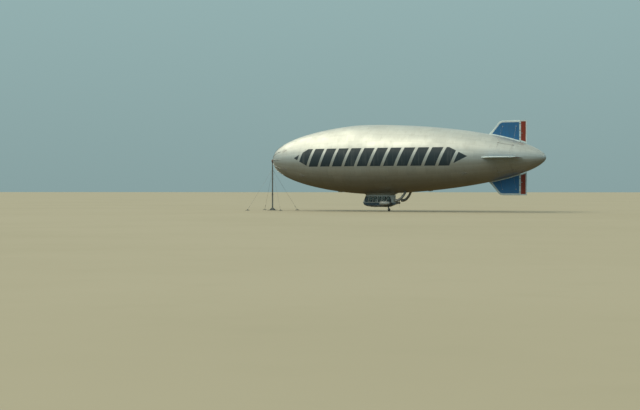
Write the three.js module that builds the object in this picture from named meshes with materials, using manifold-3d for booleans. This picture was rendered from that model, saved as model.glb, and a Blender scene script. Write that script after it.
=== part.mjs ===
// A non-rigid airship as a 1:2 scale model, moored by its nose to a guyed mast and resting on its wheel.
// Millimetres, +Z up. The bow points to -X, so port is -Y. Inside the ship group, x is the distance aft
// of the nose tip and z the height above the axis of the hull. The origin is on the ground under the
// middle of the whole.
import * as THREE from "three";
import { mergeVertices } from "three/addons/utils/BufferGeometryUtils.js";
import Module from "manifold-3d";

const wasm = await Module();
wasm.setup();

// Driving dimensions. full() takes metres on the real ship.
const scale = 1 / 2;
const full = (metres) => metres * 1000 * scale;
const seat = 0.4; // gap between pieces that rest on each other
const running = 8; // gap between pieces that move past each other
const slack = 0.15; // between the corners of a turning pin and the flats of its bore
const axisHeight = full(10.5);

const hull = {
  length: full(58.5),
  radius: full(7.01),
  widest: full(21.06),
  bow: { power: 1.5, root: 0.44, rings: 8 },
  stern: { power: 1.87, root: 0.57, rings: 12 },
  wall: 10,
  sides: 32,
  sternHole: full(0.5),
  capLap: full(0.25), // how far the stern cap reaches past the hole
  capThickness: full(0.03),
};
const nose = {
  coneReach: full(0.16),
  coneWall: full(0.05),
  battens: 12,
  battenReach: full(3.1),
  battenWidth: full(0.13),
  battenHeight: full(0.07),
  spindleRadius: full(0.07),
  spindleLength: full(0.42),
};
const fin = {
  lead: full(47.6),
  shoulder: full(49.1),
  shoulderHeight: full(6.75),
  topStart: full(50.2),
  rear: full(53.35),
  tip: full(7.25),
  thickness: full(0.22),
  bevel: full(0.06),
};
const rudder = {
  noseRadius: full(0.1),
  chord: full(1.25),
  edge: full(0.02),
  rise: full(0.14), // how far its inner edge stands off the hull
  lugs: [full(4.0), full(5.3), full(6.6)],
  lugHeight: full(0.12),
  lugWidth: full(0.07),
  pinRadius: full(0.022),
  pinSides: 10,
};
const stay = {
  radius: full(0.012),
  padRadius: full(0.09),
  padHeight: full(0.03),
  height: full(6.1), // of the pads above the axis
  stations: [full(49.9), full(52.6)],
  strapWidth: full(0.16),
  strapReach: full(0.25), // past the wires at each end
};
const horn = {
  height: full(4.75),
  root: full(0.16),
  tip: full(0.04),
  reach: full(0.32),
  radius: full(0.02),
};
const valve = {
  radius: full(0.42),
  height: full(0.1),
  well: 0.86, // share of the radius
  lid: 0.5,
  stations: { bow: full(15.2), stern: full(35.0) },
};
const car = {
  front: full(20.55),
  rear: full(27.25),
  roof: full(-7.27),
  header: full(-7.5),
  sill: full(-8.72),
  floor: full(-9.2),
  belly: full(-9.65),
  halfWidth: full(1.07),
  wall: full(0.06),
  glass: full(0.02),
  rake: full(0.55), // how far the windscreen leans back
  rakeShare: 0.3, // of the car's length
  deckThickness: full(0.05),
};
const windows = {
  low: full(-8.62),
  high: full(-7.56),
  sides: [
    [full(22.05), full(22.85)],
    [full(23.0), full(23.8)],
    [full(24.0), full(24.8)],
    [full(25.0), full(25.8)],
    [full(25.95), full(26.65)],
  ],
  quarter: [full(21.02), full(21.9)], // beside the windscreen
  screen: [full(0.035), full(0.44)], // across, from the middle
  doorFrame: full(0.14),
};
const door = { front: full(23.95), rear: full(24.85), top: full(-7.5), foot: full(-9.14) };
const hinge = {
  heights: { lower: full(-8.95), upper: full(-7.95) },
  out: full(0.035),
  pinRadius: full(0.016),
  eyeRadius: full(0.03),
  sides: 12,
};
const lamp = { side: full(0.25), height: full(-8.83), radius: full(0.09), reach: full(0.05) };
const step = {
  run: [full(24.09), full(24.71)],
  across: [full(0.83), full(1.17)],
  height: full(-9.42),
  thickness: full(0.035),
};
const handrail = {
  side: full(1.16),
  height: full(-9.32),
  run: [full(21.9), full(26.4)],
  radius: full(0.022),
  posts: 4,
};
const seats = {
  rows: { front: full(22.2), middle: full(23.45) },
  side: full(0.42),
  half: full(0.23),
  bench: { station: full(26.1), half: full(0.72) },
};
const trimWheel = { station: full(22.2), height: full(0.42), radius: full(0.24), spokes: 3 };
const engine = {
  side: full(2.3),
  height: full(-8.85),
  front: full(25.0),
  rear: full(27.1),
  radius: full(0.43),
  wall: full(0.035),
  sides: 16,
};
const cowl = {
  straps: [full(0.42), full(1.3)], // aft of the intake
  strapWidth: full(0.04),
  strapHeight: full(0.012),
  louvres: 6,
  louvreStart: full(0.6),
  louvrePitch: full(0.09),
  louvreAngle: 0.55,
  louvreTilt: 0.35,
  exhaustRadius: full(0.036),
};
const propeller = {
  radius: full(1.02),
  shaftRadius: full(0.05),
  disc: full(27.36),
  spinner: full(0.17),
};
const scoop = {
  side: full(1.75),
  mouth: full(28.05),
  height: full(-8.3),
  radius: full(0.3),
  wall: full(0.05),
};
const gear = {
  station: full(25.9),
  trail: full(0.14),
  swivel: full(-9.81),
  pivotRadius: full(0.05),
  axleRadius: full(0.025),
  tyreRadius: full(0.28),
  tyreWidth: full(0.22),
  sides: 20,
};
const mast = {
  station: full(-0.5),
  poleRadius: full(0.15),
  topRadius: full(0.11),
  guyHeight: full(8.3),
  guyReach: full(5.5),
  guyRadius: full(0.014),
  flanges: [full(3.3), full(6.6)], // heights of the joints in the pole
  flangeRadius: full(0.2),
  flangeHalf: full(0.05),
  ironPitch: full(0.32),
  ironStart: full(0.9),
  ironRadius: full(0.012),
  headLow: full(-0.42),
  headTop: full(0.2),
  winch: {
    x: full(-0.53),
    z: full(-0.14),
    half: full(0.08),
    reach: full(0.27),
    drumRadius: full(0.07),
    drumReach: full(0.35),
  },
  plate: { half: full(0.8), thickness: full(0.07) },
  shoe: { half: full(0.3), thickness: full(0.1), postRadius: full(0.06) },
};

const paint = (color, roughness, metalness) =>
  new THREE.MeshStandardMaterial({ color, roughness, metalness });
const paints = {
  silver: paint(0xb9bcb4, 0.42, 0.55),
  white: paint(0xdfe3e0, 0.5, 0),
  blue: paint(0x27588c, 0.45, 0),
  red: paint(0x96331c, 0.5, 0),
  carBlue: paint(0x25456b, 0.35, 0.1),
  carWhite: paint(0xcfd3cf, 0.4, 0.1),
  glass: paint(0x2b3a3d, 0.08, 0),
  dark: paint(0x2a2c2c, 0.6, 0.1),
  steel: paint(0x8b8e8c, 0.4, 0.8),
  rubber: paint(0x1e1e1d, 0.85, 0),
  seat: paint(0x4a3b30, 0.8, 0),
  wood: paint(0x8c7f6a, 0.7, 0),
  mastRed: paint(0x8a3a2a, 0.5, 0.1),
  mastGrey: paint(0x8f938e, 0.5, 0.4),
};

const ship = new THREE.Group();

// Adds one named piece to the ship, in the ship's own frame unless it is turned about the hull's axis.
function piece(name, solid, material, turn = 0) {
  const mesh = new THREE.Mesh(geometryOf(solid), material);
  mesh.name = name;
  mesh.rotation.x = turn;
  ship.add(mesh);
}

// Booleans

function solidOf(geometry) {
  const bare = new THREE.BufferGeometry();
  bare.setAttribute("position", geometry.getAttribute("position"));
  bare.setIndex(geometry.index);
  const merged = mergeVertices(bare, 1e-3);
  const corners = merged.index.array;
  const triangles = [];
  for (let i = 0; i < corners.length; i += 3) {
    const [a, b, c] = [corners[i], corners[i + 1], corners[i + 2]];
    if (a !== b && b !== c && c !== a) triangles.push(a, b, c);
  }
  const solid = manifoldOf(merged, triangles);
  return solid.volume() > 0 ? solid : manifoldOf(merged, triangles.reverse());
}

function manifoldOf(geometry, triangles) {
  const vertProperties = geometry.attributes.position.array;
  const triVerts = new Uint32Array(triangles);
  return new wasm.Manifold(new wasm.Mesh({ numProp: 3, vertProperties, triVerts }));
}

function geometryOf(solid) {
  const mesh = solid.getMesh();
  const geometry = new THREE.BufferGeometry();
  geometry.setAttribute("position", new THREE.BufferAttribute(mesh.vertProperties, 3));
  geometry.setIndex(new THREE.BufferAttribute(mesh.triVerts, 1));
  return geometry;
}

const joined = (solids) => solids.reduce((sum, solid) => sum.add(solid));
const largest = (solid) => solid.decompose().sort((a, b) => b.volume() - a.volume())[0];

const sides = [["port", -1], ["starboard", 1]];

// Plain shapes, as solids in the ship's frame.
function box([x0, x1], [y0, y1], [z0, z1]) {
  const shape = new THREE.BoxGeometry(x1 - x0, y1 - y0, z1 - z0);
  return solidOf(shape.translate((x0 + x1) / 2, (y0 + y1) / 2, (z0 + z1) / 2));
}

// A round bar from one point to another.
function bar(from, to, radius, sides = 8, endRadius = radius) {
  const start = new THREE.Vector3(...from);
  const run = new THREE.Vector3(...to).sub(start);
  const shape = new THREE.CylinderGeometry(endRadius, radius, run.length(), sides);
  shape.translate(0, run.length() / 2, 0);
  const upright = new THREE.Vector3(0, 1, 0);
  shape.applyQuaternion(new THREE.Quaternion().setFromUnitVectors(upright, run.clone().normalize()));
  return solidOf(shape.translate(start.x, start.y, start.z));
}

// The radius to the corners of a faceted bore in which a pin can turn.
const boreRadius = (pinRadius, sides) => pinRadius / Math.cos(Math.PI / sides) + slack;

// A turned shape about an axis along x. The profile's points are [radius, x].
function turned(profile, sides) {
  const shape = new THREE.LatheGeometry(profile.map(([r, x]) => new THREE.Vector2(r, x)), sides);
  return solidOf(shape.rotateZ(-Math.PI / 2));
}

// A skin over rings of equal length, closed at both ends. A ring lists [x, y, z] round a convex section.
function loft(rings) {
  const count = rings[0].length;
  const last = (rings.length - 1) * count;
  const triangles = [];
  for (let ring = 0; ring < rings.length - 1; ring++) {
    for (let i = 0; i < count; i++) {
      const a = ring * count + i;
      const b = ring * count + ((i + 1) % count);
      triangles.push(a, b, b + count, a, b + count, a + count);
    }
  }
  for (let i = 0, j = count - 1; i + 1 < j; i++, j--) {
    triangles.push(i + 1, i, j, last + i, last + i + 1, last + j);
    if (i + 2 < j) triangles.push(i + 1, j, j - 1, last + i + 1, last + j - 1, last + j);
  }
  const geometry = new THREE.BufferGeometry();
  geometry.setAttribute("position", new THREE.Float32BufferAttribute(rings.flat(2), 3));
  geometry.setIndex(triangles);
  return solidOf(geometry);
}

// The hull's outline

function hullRadius(x) {
  const { length, radius, widest, bow, stern } = hull;
  if (x <= widest) return radius * (1 - Math.abs(1 - x / widest) ** bow.power) ** bow.root;
  return radius * (1 - ((x - widest) / (length - widest)) ** stern.power) ** stern.root;
}

// The station aft of the widest one where the hull has this radius.
function sternStation(radius) {
  const share = (1 - (radius / hull.radius) ** (1 / hull.stern.root)) ** (1 / hull.stern.power);
  return hull.widest + share * (hull.length - hull.widest);
}

const ringStations = [];
for (let i = 0; i < hull.bow.rings; i++) {
  const angle = (i / hull.bow.rings) * (Math.PI / 2);
  ringStations.push(hull.widest * (1 - Math.cos(angle)));
}
for (let i = 0; i <= hull.stern.rings; i++) {
  const angle = (i / hull.stern.rings) * (Math.PI / 2);
  ringStations.push(hull.widest + (sternStation(hull.sternHole) - hull.widest) * Math.sin(angle));
}
const hullLine = ringStations.map((x) => [hullRadius(x), x]);
const tipLine = [...hullLine, [0, hull.length]];

// The outline moved out by a distance, each corner kept square to both of its sides.
function moved(line, distance) {
  return line.map(([r, x], i) => {
    const side = (a, b) => new THREE.Vector2(b[1] - a[1], a[0] - b[0]).normalize();
    const after = i < line.length - 1 ? side(line[i], line[i + 1]) : null;
    const before = i > 0 ? side(line[i - 1], line[i]) : null;
    const mirrored = (way) => (r === 0 ? new THREE.Vector2(-way.x, way.y) : way);
    const first = before ?? mirrored(after);
    const second = after ?? mirrored(before);
    const middle = first.clone().add(second).normalize();
    const reach = distance / middle.dot(first);
    return [Math.max(0, r + middle.x * reach), x + middle.y * reach];
  });
}

// The stretch of the outline between two stations, with its ends on the straight lines between rings.
function stretch(from, to) {
  const at = (x) => {
    const i = tipLine.findIndex(([, station]) => station > x);
    const [[r0, x0], [r1, x1]] = [tipLine[i - 1], tipLine[i]];
    return [r0 + ((r1 - r0) * (x - x0)) / (x1 - x0), x];
  };
  return [at(from), ...tipLine.filter(([, x]) => x > from && x < to), at(to)];
}

// A turned skin that lies between two distances from a stretch of the outline.
function skin(line, low, high) {
  const profile = [...moved(line, high), ...moved(line, low).reverse()];
  return turned(line[0][0] === 0 ? profile : [...profile, profile[0]], hull.sides);
}

const hullBlock = turned(moved(tipLine, seat), hull.sides);

// Envelope, nose and stern

function envelope() {
  piece("envelope", skin(hullLine, -hull.wall, 0), paints.silver);
}

// Covers the hole in the stern, through which the bag is filled.
function sternCap() {
  const from = sternStation(hull.sternHole + hull.capLap);
  const line = stretch(from, hull.length - 1);
  line[line.length - 1] = [0, hull.length];
  piece("stern_cap", skin(line, seat, seat + hull.capThickness), paints.silver);
}

const coneLine = stretch(0, nose.coneReach);
const noseFace = moved(coneLine, seat + nose.coneWall)[0][1]; // the front of the cone, ahead of the hull

function noseCone() {
  const { coneWall, spindleRadius, spindleLength } = nose;
  const tip = noseFace;
  const dish = skin(coneLine, seat, seat + coneWall);
  const spindle = turned(
    [
      [0, tip - spindleLength],
      [spindleRadius * 0.6, tip - spindleLength],
      [spindleRadius, tip - spindleLength + full(0.08)],
      [spindleRadius, tip - full(0.14)],
      [spindleRadius * 2.2, tip],
      [spindleRadius * 2.2, tip + coneWall * 0.6],
      [0, tip + coneWall * 0.6],
    ],
    16,
  );
  piece("nose_cone", dish.add(spindle), paints.steel);
}

// Battens spread from a hoop round the nose cone and stiffen the bow against the wind.
function noseBattens() {
  const { coneReach, coneWall, battens, battenReach, battenWidth, battenHeight } = nose;
  const hoopLine = stretch(coneReach + full(0.02), coneReach + full(0.1));
  const hoop = skin(hoopLine, seat, seat + coneWall * 1.3);
  const line = stretch(coneReach + full(0.05), battenReach);
  const foot = moved(line, seat);
  const crown = moved(line, seat + battenHeight);
  const rings = foot.map(([r, x], i) => {
    const taper = i === foot.length - 1 ? 0.5 : 1;
    const half = (battenWidth / 2) * taper;
    const [top, topX] = crown[i].map((value, k) => value * taper + [r, x][k] * (1 - taper));
    return [[x, -half, r], [x, half, r], [topX, half * 0.6, top], [topX, -half * 0.6, top]];
  });
  const batten = loft(rings);
  const fan = Array.from({ length: battens }, (_, i) => batten.rotate([(360 / battens) * i, 0, 0]));
  piece("nose_battens", joined([hoop, ...fan]), paints.steel);
}

// Air valves let the air bags inside the hull breathe, one under the bow and one under the stern.
function airValves() {
  for (const [end, x] of Object.entries(valve.stations)) {
    const low = -hullRadius(x);
    const upright = (top, foot, radius) => bar([x, 0, low + top], [x, 0, low - foot], radius, 20);
    const rim = upright(full(0.3), valve.height, valve.radius);
    const well = upright(-valve.height / 2, valve.height + 1, valve.radius * valve.well);
    const lid = upright(-1, valve.height * 0.8, valve.radius * valve.lid);
    piece(`air_valve_${end}`, rim.subtract(well).add(lid).subtract(hullBlock), paints.white);
  }
}

// Tail

// The fin that stands up, and the surface that swings behind it on the fin's lugs, each as a solid.
function tailPair() {
  const { lead, shoulder, shoulderHeight, topStart, rear, tip, thickness, bevel } = fin;
  const { noseRadius, chord, edge, rise, lugs, lugHeight, lugWidth, pinRadius, pinSides } = rudder;
  const buried = full(0.6); // the outline starts this deep, and the hull then cuts it
  const outline = new THREE.Shape();
  outline.moveTo(lead - full(0.2), hullRadius(lead) - buried);
  outline.lineTo(lead, hullRadius(lead));
  outline.lineTo(shoulder, shoulderHeight);
  outline.quadraticCurveTo(shoulder + full(0.35), tip, topStart, tip);
  outline.lineTo(rear, tip);
  outline.lineTo(rear, hullRadius(rear) - buried);
  const plate = new THREE.ExtrudeGeometry(outline, {
    depth: thickness - 2 * bevel,
    bevelThickness: bevel,
    bevelSize: bevel * 1.6,
    bevelOffset: -bevel * 1.6,
    bevelSegments: 1,
    curveSegments: 5,
  });
  plate.rotateX(Math.PI / 2).translate(0, (thickness - 2 * bevel) / 2, 0);

  const axis = rear + noseRadius + running;
  const arms = lugs.map((z) => {
    const [low, high] = [z - lugHeight / 2, z + lugHeight / 2];
    const arm = box([rear - bevel * 2, axis], [-lugWidth / 2, lugWidth / 2], [low, high]);
    const eye = bar([axis, 0, low], [axis, 0, high], lugWidth / 2, pinSides);
    const hole = bar([axis, 0, low - 1], [axis, 0, high + 1], boreRadius(pinRadius, pinSides), pinSides);
    return arm.add(eye).subtract(hole);
  });
  const fixed = joined([solidOf(plate).subtract(hullBlock), ...arms]);

  const nosePoints = 6;
  const section = [];
  for (let i = 0; i <= nosePoints; i++) {
    const angle = Math.PI / 2 + (Math.PI * i) / nosePoints;
    section.push([Math.cos(angle) * noseRadius, Math.sin(angle) * noseRadius]);
  }
  section.push([chord, -edge], [chord, edge]);
  const innerEdge = (x) => hullRadius(axis + Math.max(x, 0)) + rise;
  const blade = loft([
    section.map(([x, y]) => [axis + x, y, innerEdge(x)]),
    section.map(([x, y]) => [axis + x, y, tip]),
  ]);
  const notches = lugs.map((z) =>
    box(
      [axis - noseRadius - 1, axis + lugWidth / 2 + running],
      [-noseRadius - 1, noseRadius + 1],
      [z - lugHeight / 2 - running, z + lugHeight / 2 + running],
    ),
  );
  const pinEnds = [lugs[0] - lugHeight, lugs[lugs.length - 1] + lugHeight];
  const pin = bar([axis, 0, pinEnds[0]], [axis, 0, pinEnds[1]], pinRadius, pinSides);
  const horns = [-1, 1].map((side) => controlHorn(axis, side));
  return { fixed, swinging: blade.subtract(joined(notches)).add(joined([pin, ...horns])) };
}

// Two struts meet in an eye off the side of the surface, where its control cable pulls.
function controlHorn(axis, side) {
  const { height, root, tip, reach, radius } = horn;
  const eye = [axis + tip, side * reach, height];
  const strut = (x, out) => bar([axis + x, side * out, height], eye, radius, 6);
  const [ringLow, ringHigh] = [height - radius, height + radius];
  const ring = bar([eye[0], eye[1], ringLow], [eye[0], eye[1], ringHigh], radius * 1.7, 10);
  return joined([strut(root, full(0.05)), strut(root * 2, full(0.04)), ring]);
}

const tailPlaces = [
  { name: "upper", turn: 0, surface: "rudder" },
  { name: "port", turn: Math.PI / 2, surface: "elevator" },
  { name: "lower", turn: Math.PI, surface: "rudder" },
  { name: "starboard", turn: -Math.PI / 2, surface: "elevator" },
];

function tail() {
  const { fixed, swinging } = tailPair();
  for (const { name, turn, surface } of tailPlaces) {
    piece(`fin_${name}`, fixed, paints.blue, turn);
    piece(`${surface}_${name}`, swinging, paints.red, turn);
  }
}

// Wire stays steady a fin and its neighbour from a strap on the hull midway between them.
function finStays() {
  const { radius, padRadius, padHeight, height, stations, strapWidth, strapReach } = stay;
  const onDiagonal = (reach) => reach * Math.SQRT1_2;
  const face = fin.thickness / 2 + seat;
  const wires = stations.flatMap((x) => {
    const root = onDiagonal(hullRadius(x) + padHeight);
    const ends = [
      { foot: [x, face, height], top: [x, face + padHeight, height] },
      { foot: [x, height, face], top: [x, height, face + padHeight] },
    ];
    return ends.flatMap(({ foot, top }) => [
      bar([x, root, root], top, radius, 6),
      bar(foot, top, padRadius, 8),
    ]);
  });
  const half = strapWidth / 2;
  const strap = loft(
    [stations[0] - strapReach, (stations[0] + stations[1]) / 2, stations[1] + strapReach].map((x) => {
      const low = onDiagonal(hullRadius(x) - full(0.1));
      const high = onDiagonal(hullRadius(x) + padHeight * 1.6);
      return [
        [x, low + half, low - half],
        [x, low - half, low + half],
        [x, high - half, high + half],
        [x, high + half, high - half],
      ];
    }),
  );
  const set = joined([strap, ...wires]).subtract(hullBlock);
  for (const { name, turn } of tailPlaces) piece(`fin_stays_${name}`, set, paints.steel, turn);
}

// Car

// The car's sections from bow to stern. x, width and lean are shares: of the length, of the half-width,
// and of the width that is left at the top.
const carSections = [
  { x: 0, width: 0.42, belly: full(-8.95), lean: 0.8 },
  { x: 0.05, width: 0.66, belly: full(-9.3), lean: 0.84 },
  { x: 0.14, width: 0.86, belly: full(-9.5), lean: 0.9 },
  { x: 0.26, width: 0.97, belly: full(-9.61), lean: 0.94 },
  { x: 0.42, width: 1, belly: car.belly, lean: 0.95 },
  { x: 0.72, width: 1, belly: car.belly, lean: 0.95 },
  { x: 0.88, width: 0.86, belly: full(-9.55), lean: 0.93 },
  { x: 1, width: 0.6, belly: full(-9.2), lean: 0.88 },
];

// The windscreen leans back, so the nose sections slide aft towards the roof.
function carRing({ x, width, belly, lean }, inset) {
  const half = car.halfWidth * width - inset;
  const low = belly + inset;
  const top = car.roof - seat;
  const station = car.front + inset + x * (car.rear - car.front - 2 * inset);
  const rake = car.rake * Math.max(0, 1 - x / car.rakeShare);
  const knee = Math.max(low + full(0.12), car.floor + full(0.02));
  const right = [
    [half * lean, top],
    [half, car.sill],
    [half * 0.97, knee],
    [half * 0.86, low + (knee - low) * 0.42],
    [half * 0.55, low + (knee - low) * 0.08],
    [half * 0.2, low],
  ];
  const left = right.map(([y, z]) => [-y, z]).reverse();
  return [...right, ...left].map(([y, z]) => {
    const slide = z > car.sill ? (rake * (z - car.sill)) / (top - car.sill) : 0;
    return [station + slide, y, z];
  });
}

const carSolid = (inset) => loft(carSections.map((section) => carRing(section, inset)));

const everyway = full(3); // reaches past the car on each side
const across = (low, high) => box([0, hull.length], [-everyway, everyway], [low, high]);

function carBody() {
  const outer = carSolid(0);
  const backing = carSolid(car.wall + seat); // the glass lies against the inside of the frames
  const lining = backing.subtract(carSolid(car.wall + seat + car.glass));
  // the loft is open at the top, because the roof closes it
  const topRun = [car.front + full(0.5), car.rear - car.wall];
  const openTop = box(topRun, [-full(0.94), full(0.94)], [car.header, car.roof]);
  const walls = outer.subtract(carSolid(car.wall)).subtract(openTop);
  const doorway = box([door.front, door.rear], [0, everyway], [door.foot, door.top]);
  const hinges = doorHinge();

  const frame = walls.intersect(across(car.sill + seat, 0)).subtract(windowHoles()).subtract(doorway);
  piece("car_frame", frame.add(hinges.upper), paints.carWhite);
  const tub = walls.intersect(across(full(-12), car.sill)).subtract(doorway);
  const fittings = joined([...carLamps(), doorStep()]).subtract(carSolid(car.wall / 2));
  piece("car_tub", joined([tub, hinges.lower, fittings]), paints.carBlue);

  const leafSpace = box(
    [door.front + running, door.rear - running],
    [0, everyway],
    [door.foot + running, door.top - running],
  );
  const { low, high, doorFrame } = windows;
  const leafPane = box([door.front + doorFrame, door.rear - doorFrame], [0, everyway], [low, high]);
  piece("door", walls.intersect(leafSpace).subtract(leafPane).add(hinges.leaf), paints.carBlue);

  const [lap, gap] = [full(0.05), full(0.02)];
  const paneRise = [low - lap, high + full(0.04)];
  const doorGap = box([door.front - gap, door.rear + gap], [0, everyway], [full(-10), 0]);
  piece("cabin_glass", lining.intersect(across(...paneRise)).subtract(doorGap), paints.glass);
  const doorRun = [door.front + doorFrame - full(0.06), door.rear - doorFrame + full(0.06)];
  piece("door_glass", lining.intersect(box(doorRun, [0, everyway], paneRise)), paints.glass);

  // the floor spans the tub and carries the seats
  const floorRise = [car.floor, car.floor + car.deckThickness];
  const floorSlab = box([full(20.9), full(27.0)], [-everyway, everyway], floorRise);
  piece("car_floor", floorSlab.intersect(backing), paints.wood);
}

// The openings in the frame: the side windows, the windscreen's halves and its quarter lights.
function windowHoles() {
  const rise = [windows.low, windows.high];
  const sides = windows.sides.map((run) => box(run, [-everyway, everyway], rise));
  const half = [
    box([car.front - full(1), full(21.5)], windows.screen, rise),
    box(windows.quarter, [full(0.5), everyway], rise),
  ];
  return joined([...sides, ...half.flatMap((hole) => [hole, hole.mirror([0, 1, 0])])]);
}

// Two landing lamps stand off the flat of the car's nose.
function carLamps() {
  const { side, height, radius, reach } = lamp;
  const ends = [car.front + car.wall, car.front - reach];
  return [-side, side].map((y) => bar([ends[0], y, height], [ends[1], y, height], radius, 14));
}

// The step below the door stands out from the tub on two brackets.
function doorStep() {
  const { run, across: reach, height, thickness } = step;
  const tread = box(run, reach, [height - thickness / 2, height + thickness / 2]);
  const inset = full(0.06);
  const brackets = [run[0] + inset, run[1] - inset].map((x) =>
    bar([x, reach[0] - full(0.1), height - full(0.1)], [x, reach[1] - inset, height], full(0.016), 6),
  );
  return joined([tread, ...brackets]);
}

// Two pins on the car hold the door's two eyes, outside the skin at its front edge.
function doorHinge() {
  const { heights, out, pinRadius, eyeRadius, sides } = hinge;
  const x = door.front;
  const y = car.halfWidth + out;
  const upright = (low, high, radius) => bar([x, y, low], [x, y, high], radius, sides);
  const bracket = (z) => {
    const plate = box([x - full(0.1), x], [car.halfWidth * 0.93, y], [z - full(0.05), z]);
    return joined([
      plate,
      upright(z - full(0.05), z, eyeRadius),
      upright(z - full(0.04), z + full(0.075), pinRadius),
    ]);
  };
  const eye = (z) => {
    const low = z + 2;
    const high = z + full(0.07);
    const strap = box([x, x + full(0.12)], [car.halfWidth * 0.965, y + full(0.008)], [low, high]);
    const hole = upright(low - 1, high + 1, boreRadius(pinRadius, sides));
    return upright(low, high, eyeRadius).add(strap).subtract(hole);
  };
  return {
    upper: bracket(heights.upper),
    lower: bracket(heights.lower),
    leaf: joined([eye(heights.lower), eye(heights.upper)]),
  };
}

function carRoof() {
  const rings = [
    { z: car.roof, half: 0.93, fore: full(21.12), aft: full(27.15) },
    { z: full(-7.1), half: 1.0, fore: full(20.9), aft: full(27.35) },
    { z: full(-6.6), half: 1.28, fore: full(20.3), aft: full(28.1) },
  ].map(({ z, half, fore, aft }) => {
    const width = car.halfWidth * half;
    const outline = [
      [fore, -width * 0.35],
      [fore + full(0.5), -width * 0.8],
      [fore + full(1.5), -width],
      [aft - full(1.2), -width],
      [aft - full(0.3), -width * 0.8],
      [aft, -width * 0.35],
    ];
    return [...outline, ...outline.map(([x, y]) => [x, -y]).reverse()].map(([x, y]) => [x, y, z]);
  });
  piece("car_roof", loft(rings).subtract(hullBlock), paints.carWhite);
}

// A seat on its block of legs, its back leaning aft.
function chair(x, y, half) {
  const [panLow, panHigh] = [deck + full(0.24), deck + full(0.4)];
  const legs = box([x - full(0.2), x + full(0.2)], [y - half * 0.7, y + half * 0.7], [deck, panLow]);
  const pan = box([x - full(0.25), x + full(0.25)], [y - half, y + half], [panLow, panHigh]);
  const back = loft(
    [0.35, 1.02].map((rise) => {
      const fore = x + full(0.16 + rise * 0.14);
      const aft = fore + full(0.1);
      const z = deck + full(rise);
      return [[fore, y - half, z], [aft, y - half, z], [aft, y + half, z], [fore, y + half, z]];
    }),
  );
  return joined([legs, pan, back]);
}

const deck = car.floor + car.deckThickness + seat;

function cabin() {
  const { rows, side, half, bench } = seats;
  const railTop = deck + full(0.06);
  for (const [row, x] of Object.entries(rows)) {
    const pair = [-side, side].map((y) => chair(x, y, half));
    const rail = box([x - full(0.05), x + full(0.05)], [-full(0.6), full(0.6)], [deck, railTop]);
    piece(`seats_${row}`, joined([rail, ...pair]), paints.seat);
  }
  piece("seat_bench", chair(bench.station, 0, bench.half), paints.seat);

  const panel = loft(
    [
      { rise: 0, half: full(0.2), aft: full(21.62) },
      { rise: full(0.62), half: full(0.34), aft: full(21.72) },
      { rise: full(0.72), half: full(0.34), aft: full(21.6) },
    ].map(({ rise, half: wide, aft }) => {
      const [fore, z] = [full(21.42), deck + rise];
      return [[fore, -wide, z], [aft, -wide, z], [aft, wide, z], [fore, wide, z]];
    }),
  );
  piece("instrument_panel", panel, paints.dark);

  // the pilot trims the ship up and down with a wheel beside the seat
  const { station, height, radius, spokes } = trimWheel;
  const centre = [station, 0, deck + height];
  const hubHalf = full(0.03);
  const hub = bar([station, -hubHalf, centre[2]], [station, hubHalf, centre[2]], full(0.04), 10);
  const arms = Array.from({ length: spokes }, (_, i) => {
    const angle = (i / spokes) * 2 * Math.PI + Math.PI / 2;
    const end = [station + Math.cos(angle) * radius, 0, centre[2] + Math.sin(angle) * radius];
    return bar(centre, end, full(0.012), 6);
  });
  const postRun = [station - full(0.03), station + full(0.03)];
  const post = box(postRun, [-full(0.025), full(0.025)], [railTop + seat, centre[2]]);
  const rim = new THREE.TorusGeometry(radius, full(0.022), 5, 14);
  const ring = solidOf(rim.rotateX(Math.PI / 2).translate(...centre));
  piece("trim_wheel", joined([ring, hub, post, ...arms]), paints.dark);
}

// A grab rail runs round the foot of the car on each side, for the ground crew.
function handrails() {
  const { side: y, height: z, run, radius, posts } = handrail;
  for (const [name, side] of sides) {
    const rail = bar([run[0], side * y, z], [run[1], side * y, z], radius, 8);
    const endGap = full(0.1);
    const legs = Array.from({ length: posts }, (_, i) => {
      const x = run[0] + endGap + ((run[1] - run[0] - 2 * endGap) * i) / (posts - 1);
      return bar([x, side * full(0.8), z + full(0.02)], [x, side * y, z], radius * 0.8, 8);
    });
    const shape = joined([rail, ...legs]).subtract(carSolid(-seat));
    piece(`handrail_${name}`, largest(shape), paints.steel);
  }
}

// Engines

// The nacelle's outline: share of its length from the intake, and share of its radius.
const nacelleLine = [
  [0, 0.55],
  [0.03, 0.72],
  [0.12, 0.9],
  [0.3, 1],
  [0.6, 0.97],
  [0.85, 0.72],
  [1, 0.45],
];

const nacelleOutline = nacelleLine.map(([along, out]) => [
  out * engine.radius,
  engine.front + along * (engine.rear - engine.front),
]);

function nacelleRadius(x) {
  const i = nacelleOutline.findIndex(([, station]) => station > x);
  const [[r0, x0], [r1, x1]] = [nacelleOutline[i - 1], nacelleOutline[i]];
  return r0 + ((r1 - r0) * (x - x0)) / (x1 - x0);
}

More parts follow.
